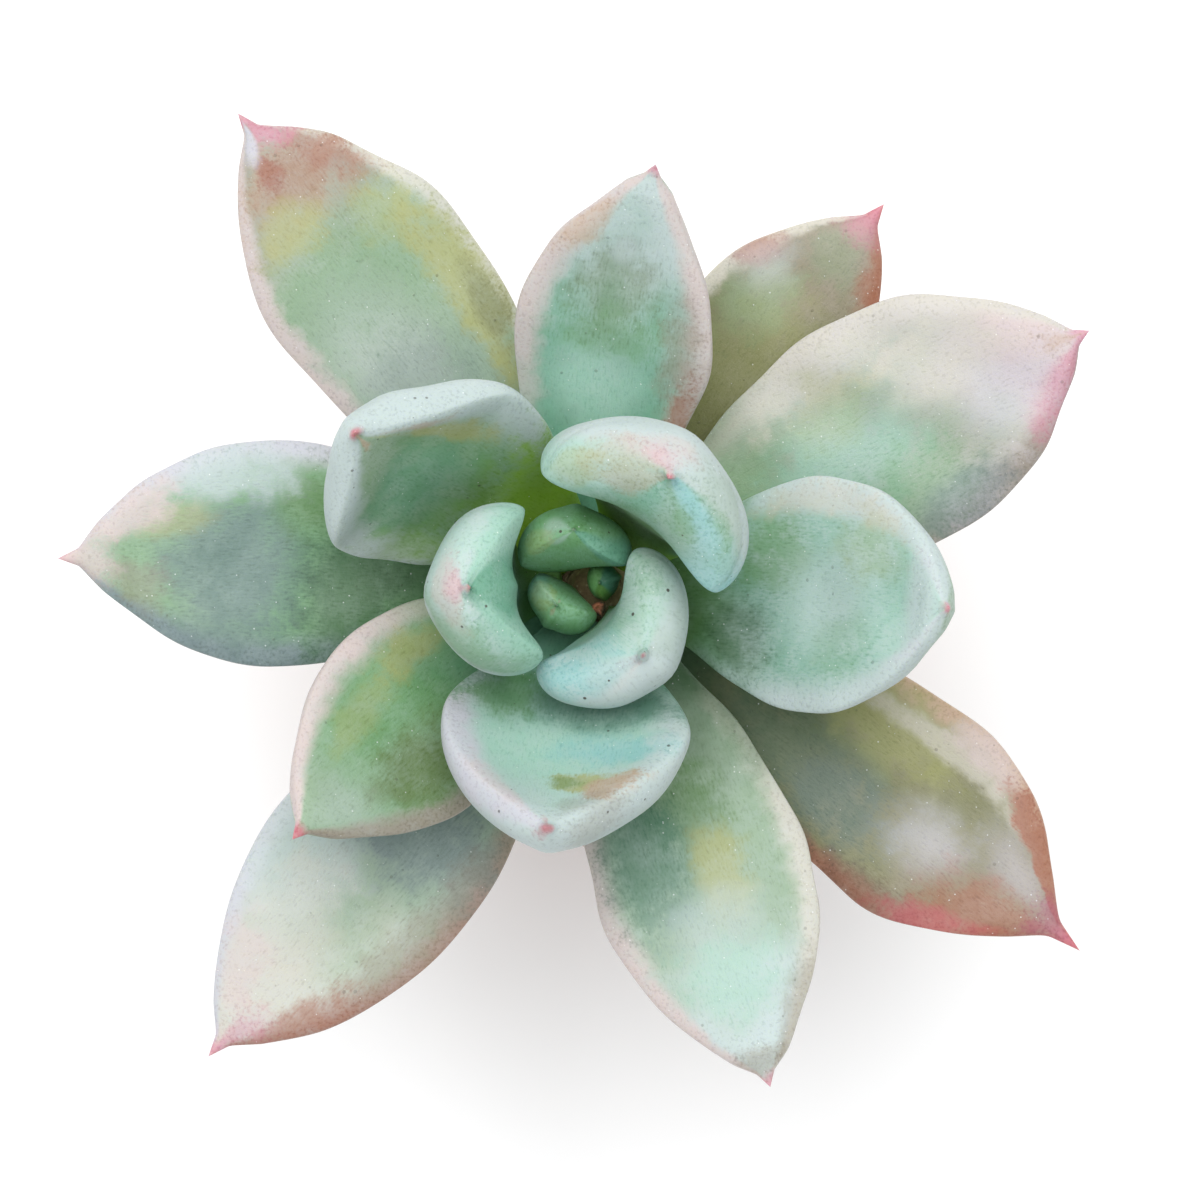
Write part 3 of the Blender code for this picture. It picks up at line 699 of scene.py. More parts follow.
def flesh_group():
    """Foot, middle and end colours along the leaf, an edge colour on each side, a back, and the tip."""
    colours = {label: GREY for label in ("Foot", "Middle", "End", "Left Edge", "Right Edge", "Back", "Tip")}
    sizes = {"Foot Reach": 0.45, "End Start": 0.75, "Edge Width": 0.2, "Tip Reach": 0.06, "Slow": 0.5, "Cloud": 0.5}
    tree, given, out = new_group("leaf_flesh", {**colours, **sizes}, {"Color": "NodeSocketColor"})
    along = sums(tree, "ADD", leaf_place(tree, "along"), centred(tree, given["Slow"], 0.4))
    along = sums(tree, "ADD", along, centred(tree, given["Cloud"], 0.12))
    across = sums(tree, "ADD", leaf_place(tree, "across"), centred(tree, given["Cloud"], 0.3))
    colour = mix(tree, ramp(tree, along, 0.08, given["Foot Reach"]), given["Foot"], given["Middle"])
    early = sums(tree, "SUBTRACT", given["End Start"], 0.16)
    late = sums(tree, "ADD", given["End Start"], 0.16)
    colour = mix(tree, ramp(tree, along, early, late), colour, given["End"])
    back = mix(tree, ramp(tree, along, 0.1, 0.5), given["Foot"], given["Back"])
    colour = mix(tree, ramp(tree, leaf_place(tree, "upper"), 0.1, -0.3), colour, back)
    outer = sums(tree, "SUBTRACT", 1.0, sums(tree, "MULTIPLY", given["Edge Width"], 0.25))
    inner = sums(tree, "SUBTRACT", 1.0, sums(tree, "MULTIPLY", given["Edge Width"], 1.7))
    grown = ramp(tree, along, 0.15, 0.5)
    for label, sign in (("Left Edge", 1.0), ("Right Edge", -1.0)):
        near = ramp(tree, sums(tree, "MULTIPLY", across, sign), inner, outer)
        colour = mix(tree, sums(tree, "MULTIPLY", near, grown), colour, given[label])
    near_tip = sums(tree, "ADD", leaf_place(tree, "along"), centred(tree, given["Cloud"], 0.06))
    tip_start = sums(tree, "SUBTRACT", 1.0, given["Tip Reach"])
    full_tip = sums(tree, "SUBTRACT", 1.0, sums(tree, "MULTIPLY", given["Tip Reach"], 0.25))
    plug(tree, out["Color"], mix(tree, ramp(tree, near_tip, tip_start, full_tip), colour, given["Tip"]))
    return tree


flesh = flesh_group()
print("group", flesh.name, "has", len(flesh.nodes), "nodes")

# %% [markdown]
# ### Blushes, stains, painted shadows and painted highlights
#
# Sun, shade and a neighbour's touch leave soft patches on a leaf; some patches here are painted light instead: painted
# shadows that leaves cast on the leaves below, painted shade deep in the heart, and painted highlights.  A patch is an
# oval on the leaf's own coordinates with a wandering edge.  The same group, placed several times in a row, paints each
# of them.


# %% Group: one soft patch
def patch_group():
    """Blend one colour over another inside an oval.

    Distance is the root of (along / half length)^2 plus (across / half width)^2, pushed about by noise, and
    the mask falls smoothly where the distance goes from 1 - Soft to 1 + Soft.
    """
    given_inputs = {"Color": GREY, "Patch": GREY, "Along": 0.5, "Across": 0.0, "Half Length": 0.2,
                    "Half Width": 0.4, "Strength": 1.0, "Face": 1.0, "Soft": 0.5, "Cloud": 0.5, "Fine": 0.5}
    tree, given, out = new_group("leaf_patch", given_inputs, {"Color": "NodeSocketColor"})
    away = sums(tree, "SUBTRACT", leaf_place(tree, "along"), given["Along"])
    aside = sums(tree, "SUBTRACT", leaf_place(tree, "across"), given["Across"])
    long_part = sums(tree, "POWER", sums(tree, "DIVIDE", away, given["Half Length"]), 2.0)
    wide_part = sums(tree, "POWER", sums(tree, "DIVIDE", aside, given["Half Width"]), 2.0)
    distance = sums(tree, "SQRT", sums(tree, "ADD", long_part, wide_part))
    distance = sums(tree, "ADD", distance, centred(tree, given["Cloud"], 1.7))
    distance = sums(tree, "ADD", distance, centred(tree, given["Fine"], 0.8))
    facing = ramp(tree, sums(tree, "MULTIPLY", leaf_place(tree, "upper"), given["Face"]), -0.2, 0.15)
    inside = ramp(tree, distance, sums(tree, "ADD", 1.0, given["Soft"]), sums(tree, "SUBTRACT", 1.0, given["Soft"]))
    mask = sums(tree, "MULTIPLY", sums(tree, "MULTIPLY", inside, facing), given["Strength"])
    plug(tree, out["Color"], mix(tree, mask, given["Color"], given["Patch"]))
    return tree


patch = patch_group()
print("group", patch.name, "has", len(patch.nodes), "nodes")

# %% [markdown]
# ### Specks
#
# The skin carries sparkling wax grains and a little dirt.  A Voronoi texture places one point in each cell of
# space; a random value for each cell decides whether there is a dot at all, and how big it is.


# %% Group: scattered dots
def dots_group():
    """A mask of round dots: points about Spacing mm apart in space, up to Radius mm in radius."""
    given_inputs = {"Spacing": 1.0, "Radius": 0.1, "Share": 0.5}
    tree, given, out = new_group("skin_dots", given_inputs, {"Mask": "NodeSocketFloat"})
    place = node(tree, "ShaderNodeTexCoord").outputs["Object"]
    scale = sums(tree, "DIVIDE", 1 / MM, given["Spacing"])
    cells = node(tree, "ShaderNodeTexVoronoi", {"Vector": place, "Scale": scale})
    chance = node(tree, "ShaderNodeSeparateColor", {"Color": cells.outputs["Color"]})
    there = sums(tree, "LESS_THAN", chance.outputs[0], given["Share"])
    size = sums(tree, "DIVIDE", given["Radius"], given["Spacing"])
    size = sums(tree, "MULTIPLY", size, sums(tree, "ADD", 0.5, chance.outputs[1]))
    dot = ramp(tree, sums(tree, "DIVIDE", cells.outputs["Distance"], size), 1.15, 0.7)
    plug(tree, out["Mask"], sums(tree, "MULTIPLY", dot, there))
    return tree


dots = dots_group()
print("group", dots.name, "has", len(dots.nodes), "nodes")

# %% [markdown]
# ### Powdery bloom
#
# The skin makes a white wax powder that rubs off where leaves touch.  It lightens and cools the colour, hides
# the gloss and adds a fine tooth.  The group takes the flesh colour and gives back the powdered colour, with painted
# shade in the pits of that tooth, the roughness, and a height for the bump: felt, grains of powder, and specks.


# %% Group: bloom, felt and specks
WAX = (0.95, 0.97, 0.98, 1.0)


def bloom_group():
    """Powder cover is Amount times the cloudy and the fine noise, and a quarter of that at the leaf's foot.

    Colour moves towards Powder by that cover, and is darkened as painted shade where the fine noise is low, in the pits
    of the bump.
    """
    given_inputs = {"Color": GREY, "Powder": (0.75, 0.82, 0.86, 1.0), "Dust": (0.05, 0.04, 0.03, 1.0),
                    "Amount": 0.5, "Dirt": 0.3, "Cloud": 0.5, "Fine": 0.5, "Grain": 0.5}
    given_outputs = {"Color": "NodeSocketColor", "Roughness": "NodeSocketFloat", "Height": "NodeSocketFloat"}
    tree, given, out = new_group("leaf_bloom", given_inputs, given_outputs)
    patchy = sums(tree, "ADD", 0.36, ramp(tree, given["Cloud"], 0.36, 0.66, 0.36))
    tooth = sums(tree, "ADD", 1.0, centred(tree, given["Fine"], 2.2))
    grown = sums(tree, "ADD", 0.25, ramp(tree, leaf_place(tree, "along"), 0.15, 0.5, 0.75))
    amount = sums(tree, "MULTIPLY", given["Amount"], grown)
    cover = sums(tree, "MULTIPLY", sums(tree, "MULTIPLY", patchy, amount), tooth, clamp=True)
    powdered = mix(tree, cover, given["Color"], given["Powder"])
    # Painted shade: the colour is darkened where the fine noise is low, which are the pits of the bump.
    pit_shade_share = sums(tree, "MULTIPLY", ramp(tree, given["Fine"], 0.5, 0.3), 0.34)
    shaded_in_pits = mix(tree, pit_shade_share, powdered, GREY, "MULTIPLY")
    wax = use(tree, dots, {"Spacing": 0.55, "Radius": 0.06, "Share": 0.20})["Mask"]
    dirt = use(tree, dots, {"Spacing": 1.15, "Radius": 0.13, "Share": 0.13})["Mask"]
    speckled = mix(tree, sums(tree, "MULTIPLY", wax, 0.42), shaded_in_pits, WAX)
    plug(tree, out["Color"], mix(tree, sums(tree, "MULTIPLY", dirt, given["Dirt"]), speckled, given["Dust"]))
    plug(tree, out["Roughness"], sums(tree, "ADD", 0.46, sums(tree, "MULTIPLY", cover, 0.34)))
    felt = sums(tree, "ADD", sums(tree, "MULTIPLY", given["Fine"], 0.8), sums(tree, "MULTIPLY", given["Grain"], 0.3))
    raised = sums(tree, "ADD", felt, sums(tree, "MULTIPLY", sums(tree, "ADD", wax, dirt), 0.5))
    plug(tree, out["Height"], sums(tree, "ADD", raised, sums(tree, "MULTIPLY", given["Cloud"], 0.8)))
    return tree


bloom = bloom_group()
print("group", bloom.name, "has", len(bloom.nodes), "nodes")

# %% [markdown]
# ## A palette in words
#
# One palette serves the whole plant, so that neighbouring leaves belong together.  The values are ordinary screen
# colours from 0 to 255, as they look on a leaf beside a sheet of white card under bright lamps.  They are made
# linear, and darkened by the share of light by which the card is overexposed.  Each leaf's look is then
# written with these words: the colours of its foot, middle, end, edges, back and tip, and its patches.

# %% The palette
PALETTE = {
    "deep moss": (58, 104, 34), "moss": (88, 142, 52), "lime": (150, 204, 24), "leaf green": (108, 170, 96),
    "dark leaf": (62, 108, 62), "sage": (156, 186, 148), "sea green": (116, 188, 154), "deep sea": (58, 128, 96),
    "mint": (178, 228, 206), "frost": (212, 228, 226), "lilac white": (224, 221, 232), "slate": (120, 142, 144),
    "turquoise": (150, 218, 216), "cream": (232, 226, 212), "shell pink": (232, 212, 208), "rose": (228, 142, 168),
    "hot pink": (222, 92, 116), "magenta": (190, 84, 122), "rust": (178, 106, 74), "peach": (214, 178, 148),
    "taupe": (162, 148, 126), "olive": (124, 126, 68), "straw": (188, 190, 112), "umber": (110, 70, 50),
}
CARD_EXPOSURE = 0.66


def linear(rgb):
    """Screen colour to linear light: below 0.04045 divide by 12.92, else ((c + 0.055) / 1.055) ^ 2.4."""
    share = np.array(rgb) / 255
    light = np.where(share <= 0.04045, share / 12.92, ((share + 0.055) / 1.055) ** 2.4)
    return (*(light * CARD_EXPOSURE).tolist(), 1.0)


paint = {word: linear(rgb) for word, rgb in PALETTE.items()}
print("the palette has", len(paint), "colours")


# %% How a look is written down
@dataclass
class Patch:
    """One soft patch: its colour, its middle and half sizes in leaf coordinates, and how strong it is."""

    colour: str
    along: float
    across: float
    long: float             # half its length, as a share of the leaf's
    wide: float             # half its width, where the half leaf is 1
    strength: float = 0.6
    soft: float = 0.5       # 0.1 is a crisp border, 0.8 a very soft one
    face: float = 1.0       # 1 on the upper face, -1 on the back, 0 on both


@dataclass
class Look:
    """The colours of one leaf, in the words of the palette."""

    foot: str
    middle: str
    end: str
    left: str
    right: str
    tip: str
    patches: tuple = ()
    back: str = "sage"
    powder: str = "frost"
    bloom: float = 0.4
    tip_reach: float = 0.06
    foot_reach: float = 0.45
    end_start: float = 0.75
    edge: float = 0.2
    dirt: float = 0.3


# %% The lower leaves
LOOKS = {
    "leaf_01": Look("olive", "olive", "taupe", "cream", "rust", "hot pink", (
        Patch("sage", 0.66, 0.45, 0.10, 0.35, 0.7), Patch("straw", 0.5, 0.1, 0.22, 0.6, 0.3),
        Patch("rust", 0.75, 0.95, 0.05, 0.22, 0.8), Patch("sage", 0.86, 0.1, 0.08, 0.6, 0.4),
        Patch("lilac white", 0.74, 0.7, 0.06, 0.3, 0.4, 0.8), Patch("rust", 0.85, -0.95, 0.12, 0.35, 0.8),
        Patch("rose", 0.95, 0.0, 0.05, 1.2, 0.7)), powder="cream", bloom=0.2, tip_reach=0.07, edge=0.14),
    # On leaf_02 the dark leaf foot is partly its own deep green and partly painted shade, and the dark leaf patch 0.4
    # along is a painted shadow cast by the leaves that lie over it.
    "leaf_02": Look("dark leaf", "olive", "taupe", "peach", "rust", "hot pink", (
        Patch("dark leaf", 0.4, -0.25, 0.16, 0.6, 0.75), Patch("straw", 0.5, 0.55, 0.14, 0.4, 0.6),
        Patch("slate", 0.5, -0.4, 0.1, 0.4, 0.4), Patch("lilac white", 0.67, -0.15, 0.07, 0.3, 0.6, 0.9),
        Patch("lilac white", 0.82, 0.35, 0.07, 0.34, 0.45, 0.9), Patch("cream", 0.6, 0.7, 0.18, 0.12, 0.7),
        Patch("shell pink", 0.66, 0.9, 0.08, 0.16, 0.8), Patch("rust", 0.85, 0.85, 0.12, 0.22, 0.9, 0.3),
        Patch("rust", 0.84, -0.6, 0.12, 0.5, 0.7), Patch("umber", 0.64, -0.95, 0.1, 0.2, 0.5),
        Patch("hot pink", 0.76, -0.95, 0.08, 0.2, 0.5), Patch("magenta", 0.94, 0.0, 0.05, 1.2, 0.6)),
        powder="cream", bloom=0.2, tip_reach=0.08, edge=0.14, foot_reach=0.4),
    "leaf_03": Look("slate", "sage", "taupe", "shell pink", "cream", "rose", (
        Patch("lilac white", 0.5, 0.3, 0.14, 0.5, 0.35), Patch("slate", 0.4, 0.2, 0.1, 0.7, 0.3), Patch("leaf green", 0.64, -0.1, 0.12, 0.8, 0.3),
        Patch("straw", 0.5, -0.72, 0.2, 0.24, 0.9), Patch("olive", 0.45, -0.8, 0.08, 0.14, 0.6),
        Patch("peach", 0.86, 0.0, 0.09, 0.9, 0.6), Patch("rust", 0.86, -0.1, 0.06, 0.7, 0.45),
        Patch("rust", 0.88, 0.26, 0.035, 0.26, 0.95, 0.4), Patch("rust", 0.88, -0.7, 0.09, 0.3, 0.6),
        Patch("straw", 0.78, 0.4, 0.05, 0.4, 0.7), Patch("straw", 0.7, -0.55, 0.06, 0.3, 0.45),
        Patch("rose", 0.95, -0.5, 0.04, 0.7, 0.85), Patch("lilac white", 0.95, 0.55, 0.035, 0.35, 0.9)),
        bloom=0.3, tip_reach=0.04, edge=0.13, end_start=0.8),
    # On leaf_04 the slate foot is partly its own blue-grey and partly painted shadow, and the slate patch 0.45 along is
    # a painted shadow cast by the leaf above it.
    "leaf_04": Look("slate", "sage", "cream", "rust", "lilac white", "rose", (
        Patch("frost", 0.6, -0.55, 0.16, 0.5, 0.8), Patch("slate", 0.45, 0.1, 0.1, 0.8, 0.8),
        Patch("taupe", 0.62, 0.8, 0.2, 0.22, 0.6), Patch("rust", 0.86, 0.8, 0.1, 0.3, 0.8),
        Patch("cream", 0.72, -0.3, 0.12, 0.4, 0.5), Patch("rose", 0.93, 0.3, 0.05, 0.5, 0.6),
        Patch("shell pink", 0.85, -0.6, 0.08, 0.4, 0.7)), bloom=0.4, edge=0.16),
    "leaf_05": Look("leaf green", "sage", "shell pink", "cream", "taupe", "rose", (
        Patch("mint", 0.48, -0.1, 0.14, 0.5, 0.7), Patch("cream", 0.5, 0.8, 0.2, 0.3, 0.8),
        Patch("leaf green", 0.56, -0.6, 0.12, 0.35, 0.5), Patch("slate", 0.65, -0.85, 0.1, 0.25, 0.6),
        Patch("cream", 0.72, 0.4, 0.12, 0.4, 0.7), Patch("straw", 0.5, 0.4, 0.08, 0.3, 0.35),
        Patch("rose", 0.92, -0.8, 0.08, 0.4, 0.7), Patch("peach", 0.95, 0.2, 0.04, 0.35, 0.7),
        Patch("lilac white", 0.82, -0.2, 0.09, 0.4, 0.5)), powder="lilac white", bloom=0.4, tip_reach=0.04),
    # On leaf_06 the dark leaf foot, the dark leaf patch 0.42 along and the deep sea patch 0.6 along are partly its own
    # deeper green and partly painted shadow cast by leaf_11 above it.
    "leaf_06": Look("dark leaf", "leaf green", "sage", "slate", "lilac white", "rose", (
        Patch("deep sea", 0.6, 0.1, 0.12, 0.7, 0.4), Patch("slate", 0.68, 0.15, 0.14, 0.8, 0.75),
        Patch("dark leaf", 0.42, 0.4, 0.1, 0.7, 0.7), Patch("moss", 0.5, -0.5, 0.07, 0.3, 0.8),
        Patch("frost", 0.66, -0.75, 0.12, 0.25, 0.8), Patch("straw", 0.78, -0.4, 0.08, 0.2, 0.5),
        Patch("taupe", 0.85, 0.5, 0.06, 0.4, 0.5), Patch("shell pink", 0.86, -0.7, 0.08, 0.35, 0.9),
        Patch("shell pink", 0.95, 0.0, 0.05, 1.4, 0.8)),
        bloom=0.28, tip_reach=0.06, edge=0.2, end_start=0.84),
    # On leaf_07 the dark leaf foot is partly its own deep green and partly painted shade, and the deep sea patch
    # halfway along its right side is a painted shadow cast by leaf_12 above it.
    "leaf_07": Look("dark leaf", "sage", "frost", "cream", "shell pink", "rose", (
        Patch("moss", 0.42, 0.05, 0.1, 0.4, 0.8), Patch("deep sea", 0.5, -0.45, 0.15, 0.45, 0.75),
        Patch("straw", 0.56, 0.2, 0.1, 0.25, 0.75), Patch("frost", 0.66, 0.0, 0.07, 0.5, 0.5),
        Patch("mint", 0.78, 0.0, 0.08, 0.6, 0.6), Patch("taupe", 0.88, 0.9, 0.1, 0.25, 0.5),
        Patch("taupe", 0.955, 0.0, 0.03, 1.3, 0.55)), bloom=0.34, tip_reach=0.035, edge=0.16),
}
print("wrote looks for", len(LOOKS), "lower leaves")

# %% The upper leaves
LOOKS.update({
    "leaf_08": Look("sea green", "sea green", "frost", "shell pink", "shell pink", "rose", (
        Patch("mint", 0.42, 0.1, 0.14, 0.5, 0.7), Patch("olive", 0.68, 0.1, 0.12, 0.5, 0.5, 0.45),
        Patch("leaf green", 0.56, 0.0, 0.06, 0.6, 0.5), Patch("peach", 0.82, 0.85, 0.07, 0.25, 0.7),
        Patch("taupe", 0.56, -0.75, 0.14, 0.2, 0.6), Patch("rust", 0.4, -0.93, 0.08, 0.14, 0.75),
        Patch("frost", 0.78, 0.1, 0.035, 0.2, 0.6)), bloom=0.45, tip_reach=0.035),
    "leaf_09": Look("sea green", "leaf green", "sage", "taupe", "shell pink", "hot pink", (
        Patch("moss", 0.62, 0.45, 0.12, 0.35, 0.95), Patch("olive", 0.6, 0.4, 0.16, 0.4, 0.4),
        Patch("straw", 0.42, -0.6, 0.1, 0.2, 0.7), Patch("straw", 0.64, -0.45, 0.12, 0.2, 0.4),
        Patch("frost", 0.84, 0.3, 0.08, 0.5, 0.25, 0.9)), bloom=0.3, tip_reach=0.06),
    # On leaf_10 the dark leaf patch 0.34 along is partly its own deep green and partly painted shadow cast by leaf_13,
    # and the frost patch in the middle, 0.6 along, is partly powder and partly a painted highlight.
    "leaf_10": Look("moss", "sea green", "mint", "frost", "frost", "hot pink", (
        Patch("leaf green", 0.42, 0.4, 0.10, 0.4, 0.8), Patch("dark leaf", 0.34, -0.5, 0.09, 0.4, 0.7),
        Patch("frost", 0.6, -0.05, 0.12, 0.4, 0.6, 0.9), Patch("cream", 0.6, 0.85, 0.2, 0.15, 0.8),
        Patch("straw", 0.72, 0.5, 0.1, 0.3, 0.35), Patch("leaf green", 0.68, -0.5, 0.08, 0.3, 0.3),
        Patch("lilac white", 0.92, 0.0, 0.05, 1.2, 0.5)), bloom=0.75, tip_reach=0.035),
    # On leaf_11 the moss patch 0.42 along is partly its own darker green and partly painted shade, where the leaf's
    # lower half lies under leaf_14.
    "leaf_11": Look("lime", "leaf green", "sage", "frost", "frost", "hot pink", (
        Patch("lime", 0.22, -0.3, 0.2, 0.9, 1.0), Patch("moss", 0.42, 0.2, 0.1, 0.5, 0.6),
        Patch("sea green", 0.62, 0.1, 0.14, 0.5, 0.5), Patch("straw", 0.7, -0.6, 0.16, 0.14, 0.85),
        Patch("peach", 0.82, -0.8, 0.06, 0.12, 0.6), Patch("peach", 0.94, 0.2, 0.04, 0.3, 0.7),
        Patch("lime", 0.42, 0.75, 0.14, 0.2, 0.4)), back="frost", bloom=0.4, tip_reach=0.055, edge=0.3, dirt=0.6),
    # On leaf_12 the deep sea patch near the foot, 0.33 along, is partly its own sea green and partly painted shade from
    # the depth of the heart.
    "leaf_12": Look("sea green", "mint", "frost", "frost", "lilac white", "hot pink", (
        Patch("deep sea", 0.33, 0.1, 0.10, 1.1, 0.6), Patch("leaf green", 0.36, -0.65, 0.1, 0.3, 0.7),
        Patch("turquoise", 0.55, 0.5, 0.07, 0.5, 0.75, 0.6), Patch("straw", 0.72, 0.4, 0.055, 0.44, 0.95, 0.35),
        Patch("moss", 0.72, 0.14, 0.035, 0.2, 0.55, 0.5), Patch("peach", 0.75, 0.75, 0.07, 0.28, 0.9, 0.35),
        Patch("taupe", 0.85, 0.75, 0.06, 0.5, 0.6, 0.5, 0.0), Patch("shell pink", 0.8, -0.9, 0.1, 0.2, 0.5),
        Patch("hot pink", 0.96, -0.4, 0.03, 0.5, 0.8, 0.5, 0.0)),
        back="frost", bloom=0.4, tip_reach=0.05, dirt=0.7),
    "leaf_13": Look("lime", "moss", "sea green", "mint", "turquoise", "hot pink", (
        Patch("sage", 0.87, -0.6, 0.07, 0.4, 0.75, 0.5, 0.0), Patch("leaf green", 0.9, -0.8, 0.03, 0.14, 0.8, 0.5, 0.0),
        Patch("peach", 0.92, 0.75, 0.04, 0.35, 0.8, 0.5, 0.0), Patch("straw", 0.87, 0.98, 0.04, 0.1, 0.7, 0.5, 0.0),
        Patch("rose", 0.94, 0.3, 0.03, 0.3, 0.75, 0.6, -1.0), Patch("shell pink", 0.93, 0.2, 0.05, 0.4, 0.6, 0.5, -1.0)),
        back="frost", bloom=0.5, tip_reach=0.05, dirt=0.7),
    "leaf_14": Look("moss", "deep sea", "sea green", "mint", "mint", "hot pink", (
        Patch("mint", 0.88, 0.0, 0.12, 0.9, 0.5, 0.5, -1.0), Patch("sea green", 0.85, 0.9, 0.14, 0.5, 0.7, 0.5, 0.0),
        Patch("leaf green", 0.8, 0.4, 0.1, 0.4, 0.5, 0.5, -1.0),
        Patch("rose", 0.935, -0.1, 0.03, 0.3, 0.7, 0.6, -1.0), Patch("shell pink", 0.9, 0.0, 0.06, 0.35, 0.5, 0.5, -1.0)),
        back="frost", bloom=0.3, tip_reach=0.05, dirt=0.8),
    "leaf_15": Look("moss", "sea green", "mint", "mint", "turquoise", "hot pink", (
        Patch("turquoise", 0.75, -0.6, 0.16, 0.5, 0.7), Patch("sage", 0.8, 0.6, 0.14, 0.4, 0.5, 0.5, 0.0),
        Patch("leaf green", 0.74, 1.0, 0.1, 0.12, 0.5, 0.5, 0.0), Patch("rose", 0.91, -0.9, 0.03, 0.3, 0.6, 0.6, 0.0),
        Patch("shell pink", 0.89, -0.85, 0.06, 0.3, 0.45, 0.5, 0.0)),
        back="frost", bloom=0.8, tip_reach=0.06, dirt=0.9),
    # On leaf_16 the frost patch 0.9 along is a painted highlight.
    "leaf_16": Look("moss", "leaf green", "leaf green", "leaf green", "sea green", "sage", (
        Patch("frost", 0.9, 0.7, 0.05, 0.25, 0.75, 0.6, 0.0), Patch("deep sea", 0.8, -0.95, 0.2, 0.2, 0.6, 0.5, 0.0),
        Patch("straw", 0.8, 0.95, 0.08, 0.1, 0.5, 0.5, 0.0)),
        back="leaf green", powder="mint", bloom=0.42, dirt=0.9),
    "leaf_17": Look("moss", "leaf green", "leaf green", "leaf green", "sea green", "sage", (
        Patch("straw", 0.88, -0.8, 0.09, 0.5, 0.6, 0.5, 0.0), Patch("rust", 0.9, 0.0, 0.02, 0.12, 0.7, 0.4, 0.0)),
        back="leaf green", powder="mint", bloom=0.5, dirt=0.9),
    # Leaf_18 lies deep in the heart: its deep moss foot and deep sea back are partly its own dark green and partly
    # painted shade.
    "leaf_18": Look("deep moss", "leaf green", "leaf green", "leaf green", "moss", "sage", back="deep sea", bloom=0.1),
    "leaf_19": Look("umber", "umber", "rust", "umber", "umber", "rust", back="umber", bloom=0.1, tip_reach=0.3),
})
print("wrote", sum(len(look.patches) for look in LOOKS.values()), "patches on", len(LOOKS), "leaves")

# %% [markdown]
# ### From words to a material
#
# Each leaf gets its own material: the flesh group, its patches in a row, then the bloom.  Light also travels a
# little way into wet flesh, which softens every shadow edge.  Painting the leaf lighter would not do that, so
# the shader's own subsurface scattering is used, at a couple of millimetres.


# %% Leaf materials
def new_material(name):
    """An empty material with a Principled shader; returns it with its tree and its shader."""
    material = bpy.data.materials.new(name)
    material.use_nodes = True
    return material, material.node_tree, material.node_tree.nodes["Principled BSDF"]


def leaf_material(name, look):
    """Flesh, patches and bloom in a row, into one Principled shader."""
    material, tree, shader = new_material(name)
    grain = tree.nodes.new("ShaderNodeGroup")
    grain.node_tree = texture
    layer = grain.outputs
    words = {"Foot": look.foot, "Middle": look.middle, "End": look.end, "Left Edge": look.left,
             "Right Edge": look.right, "Back": look.back, "Tip": look.tip}
    colour = use(tree, flesh, {**{socket: paint[word] for socket, word in words.items()},
                               "Foot Reach": look.foot_reach, "End Start": look.end_start,
                               "Edge Width": look.edge, "Tip Reach": look.tip_reach,
                               "Slow": layer["Slow"], "Cloud": layer["Cloud"]})["Color"]
    for mark in look.patches:
        colour = use(tree, patch, {"Color": colour, "Patch": paint[mark.colour], "Along": mark.along,
                                   "Across": mark.across, "Half Length": mark.long, "Half Width": mark.wide,
                                   "Strength": mark.strength, "Soft": mark.soft, "Face": mark.face,
                                   "Cloud": layer["Cloud"], "Fine": layer["Fine"]})["Color"]
    powdered = use(tree, bloom, {"Color": colour, "Powder": paint[look.powder], "Amount": look.bloom,
                                 "Dirt": look.dirt, "Cloud": layer["Cloud"], "Fine": layer["Fine"],
                                 "Grain": layer["Grain"]})
    plug(tree, shader.inputs["Base Color"], powdered["Color"])
    plug(tree, shader.inputs["Roughness"], powdered["Roughness"])
    bump = node(tree, "ShaderNodeBump", {"Height": powdered["Height"], "Strength": 0.5, "Distance": 0.12 * MM})
    plug(tree, shader.inputs["Normal"], bump.outputs["Normal"])
    shader.inputs["Subsurface Weight"].default_value = 0.18
    shader.inputs["Subsurface Radius"].default_value = (1.0, 1.0, 0.5)
    shader.inputs["Subsurface Scale"].default_value = 2.0 * MM
    return material


for name, look in LOOKS.items():
    leaf_skins[name].data.materials.append(leaf_material(f"{name}_flesh", look))
print("painted", len(leaf_skins), "leaves")

# %% [markdown]
# ## Clay, bark and soil
#
# These three are rougher and drier than the leaves.  Fired clay is orange with a fine sandy tooth, darker where
# it draws up water and white where salts dry out near the rim.  They have no leaf coordinates, so their
# patterns are read from the object's own coordinates, which are metres here.


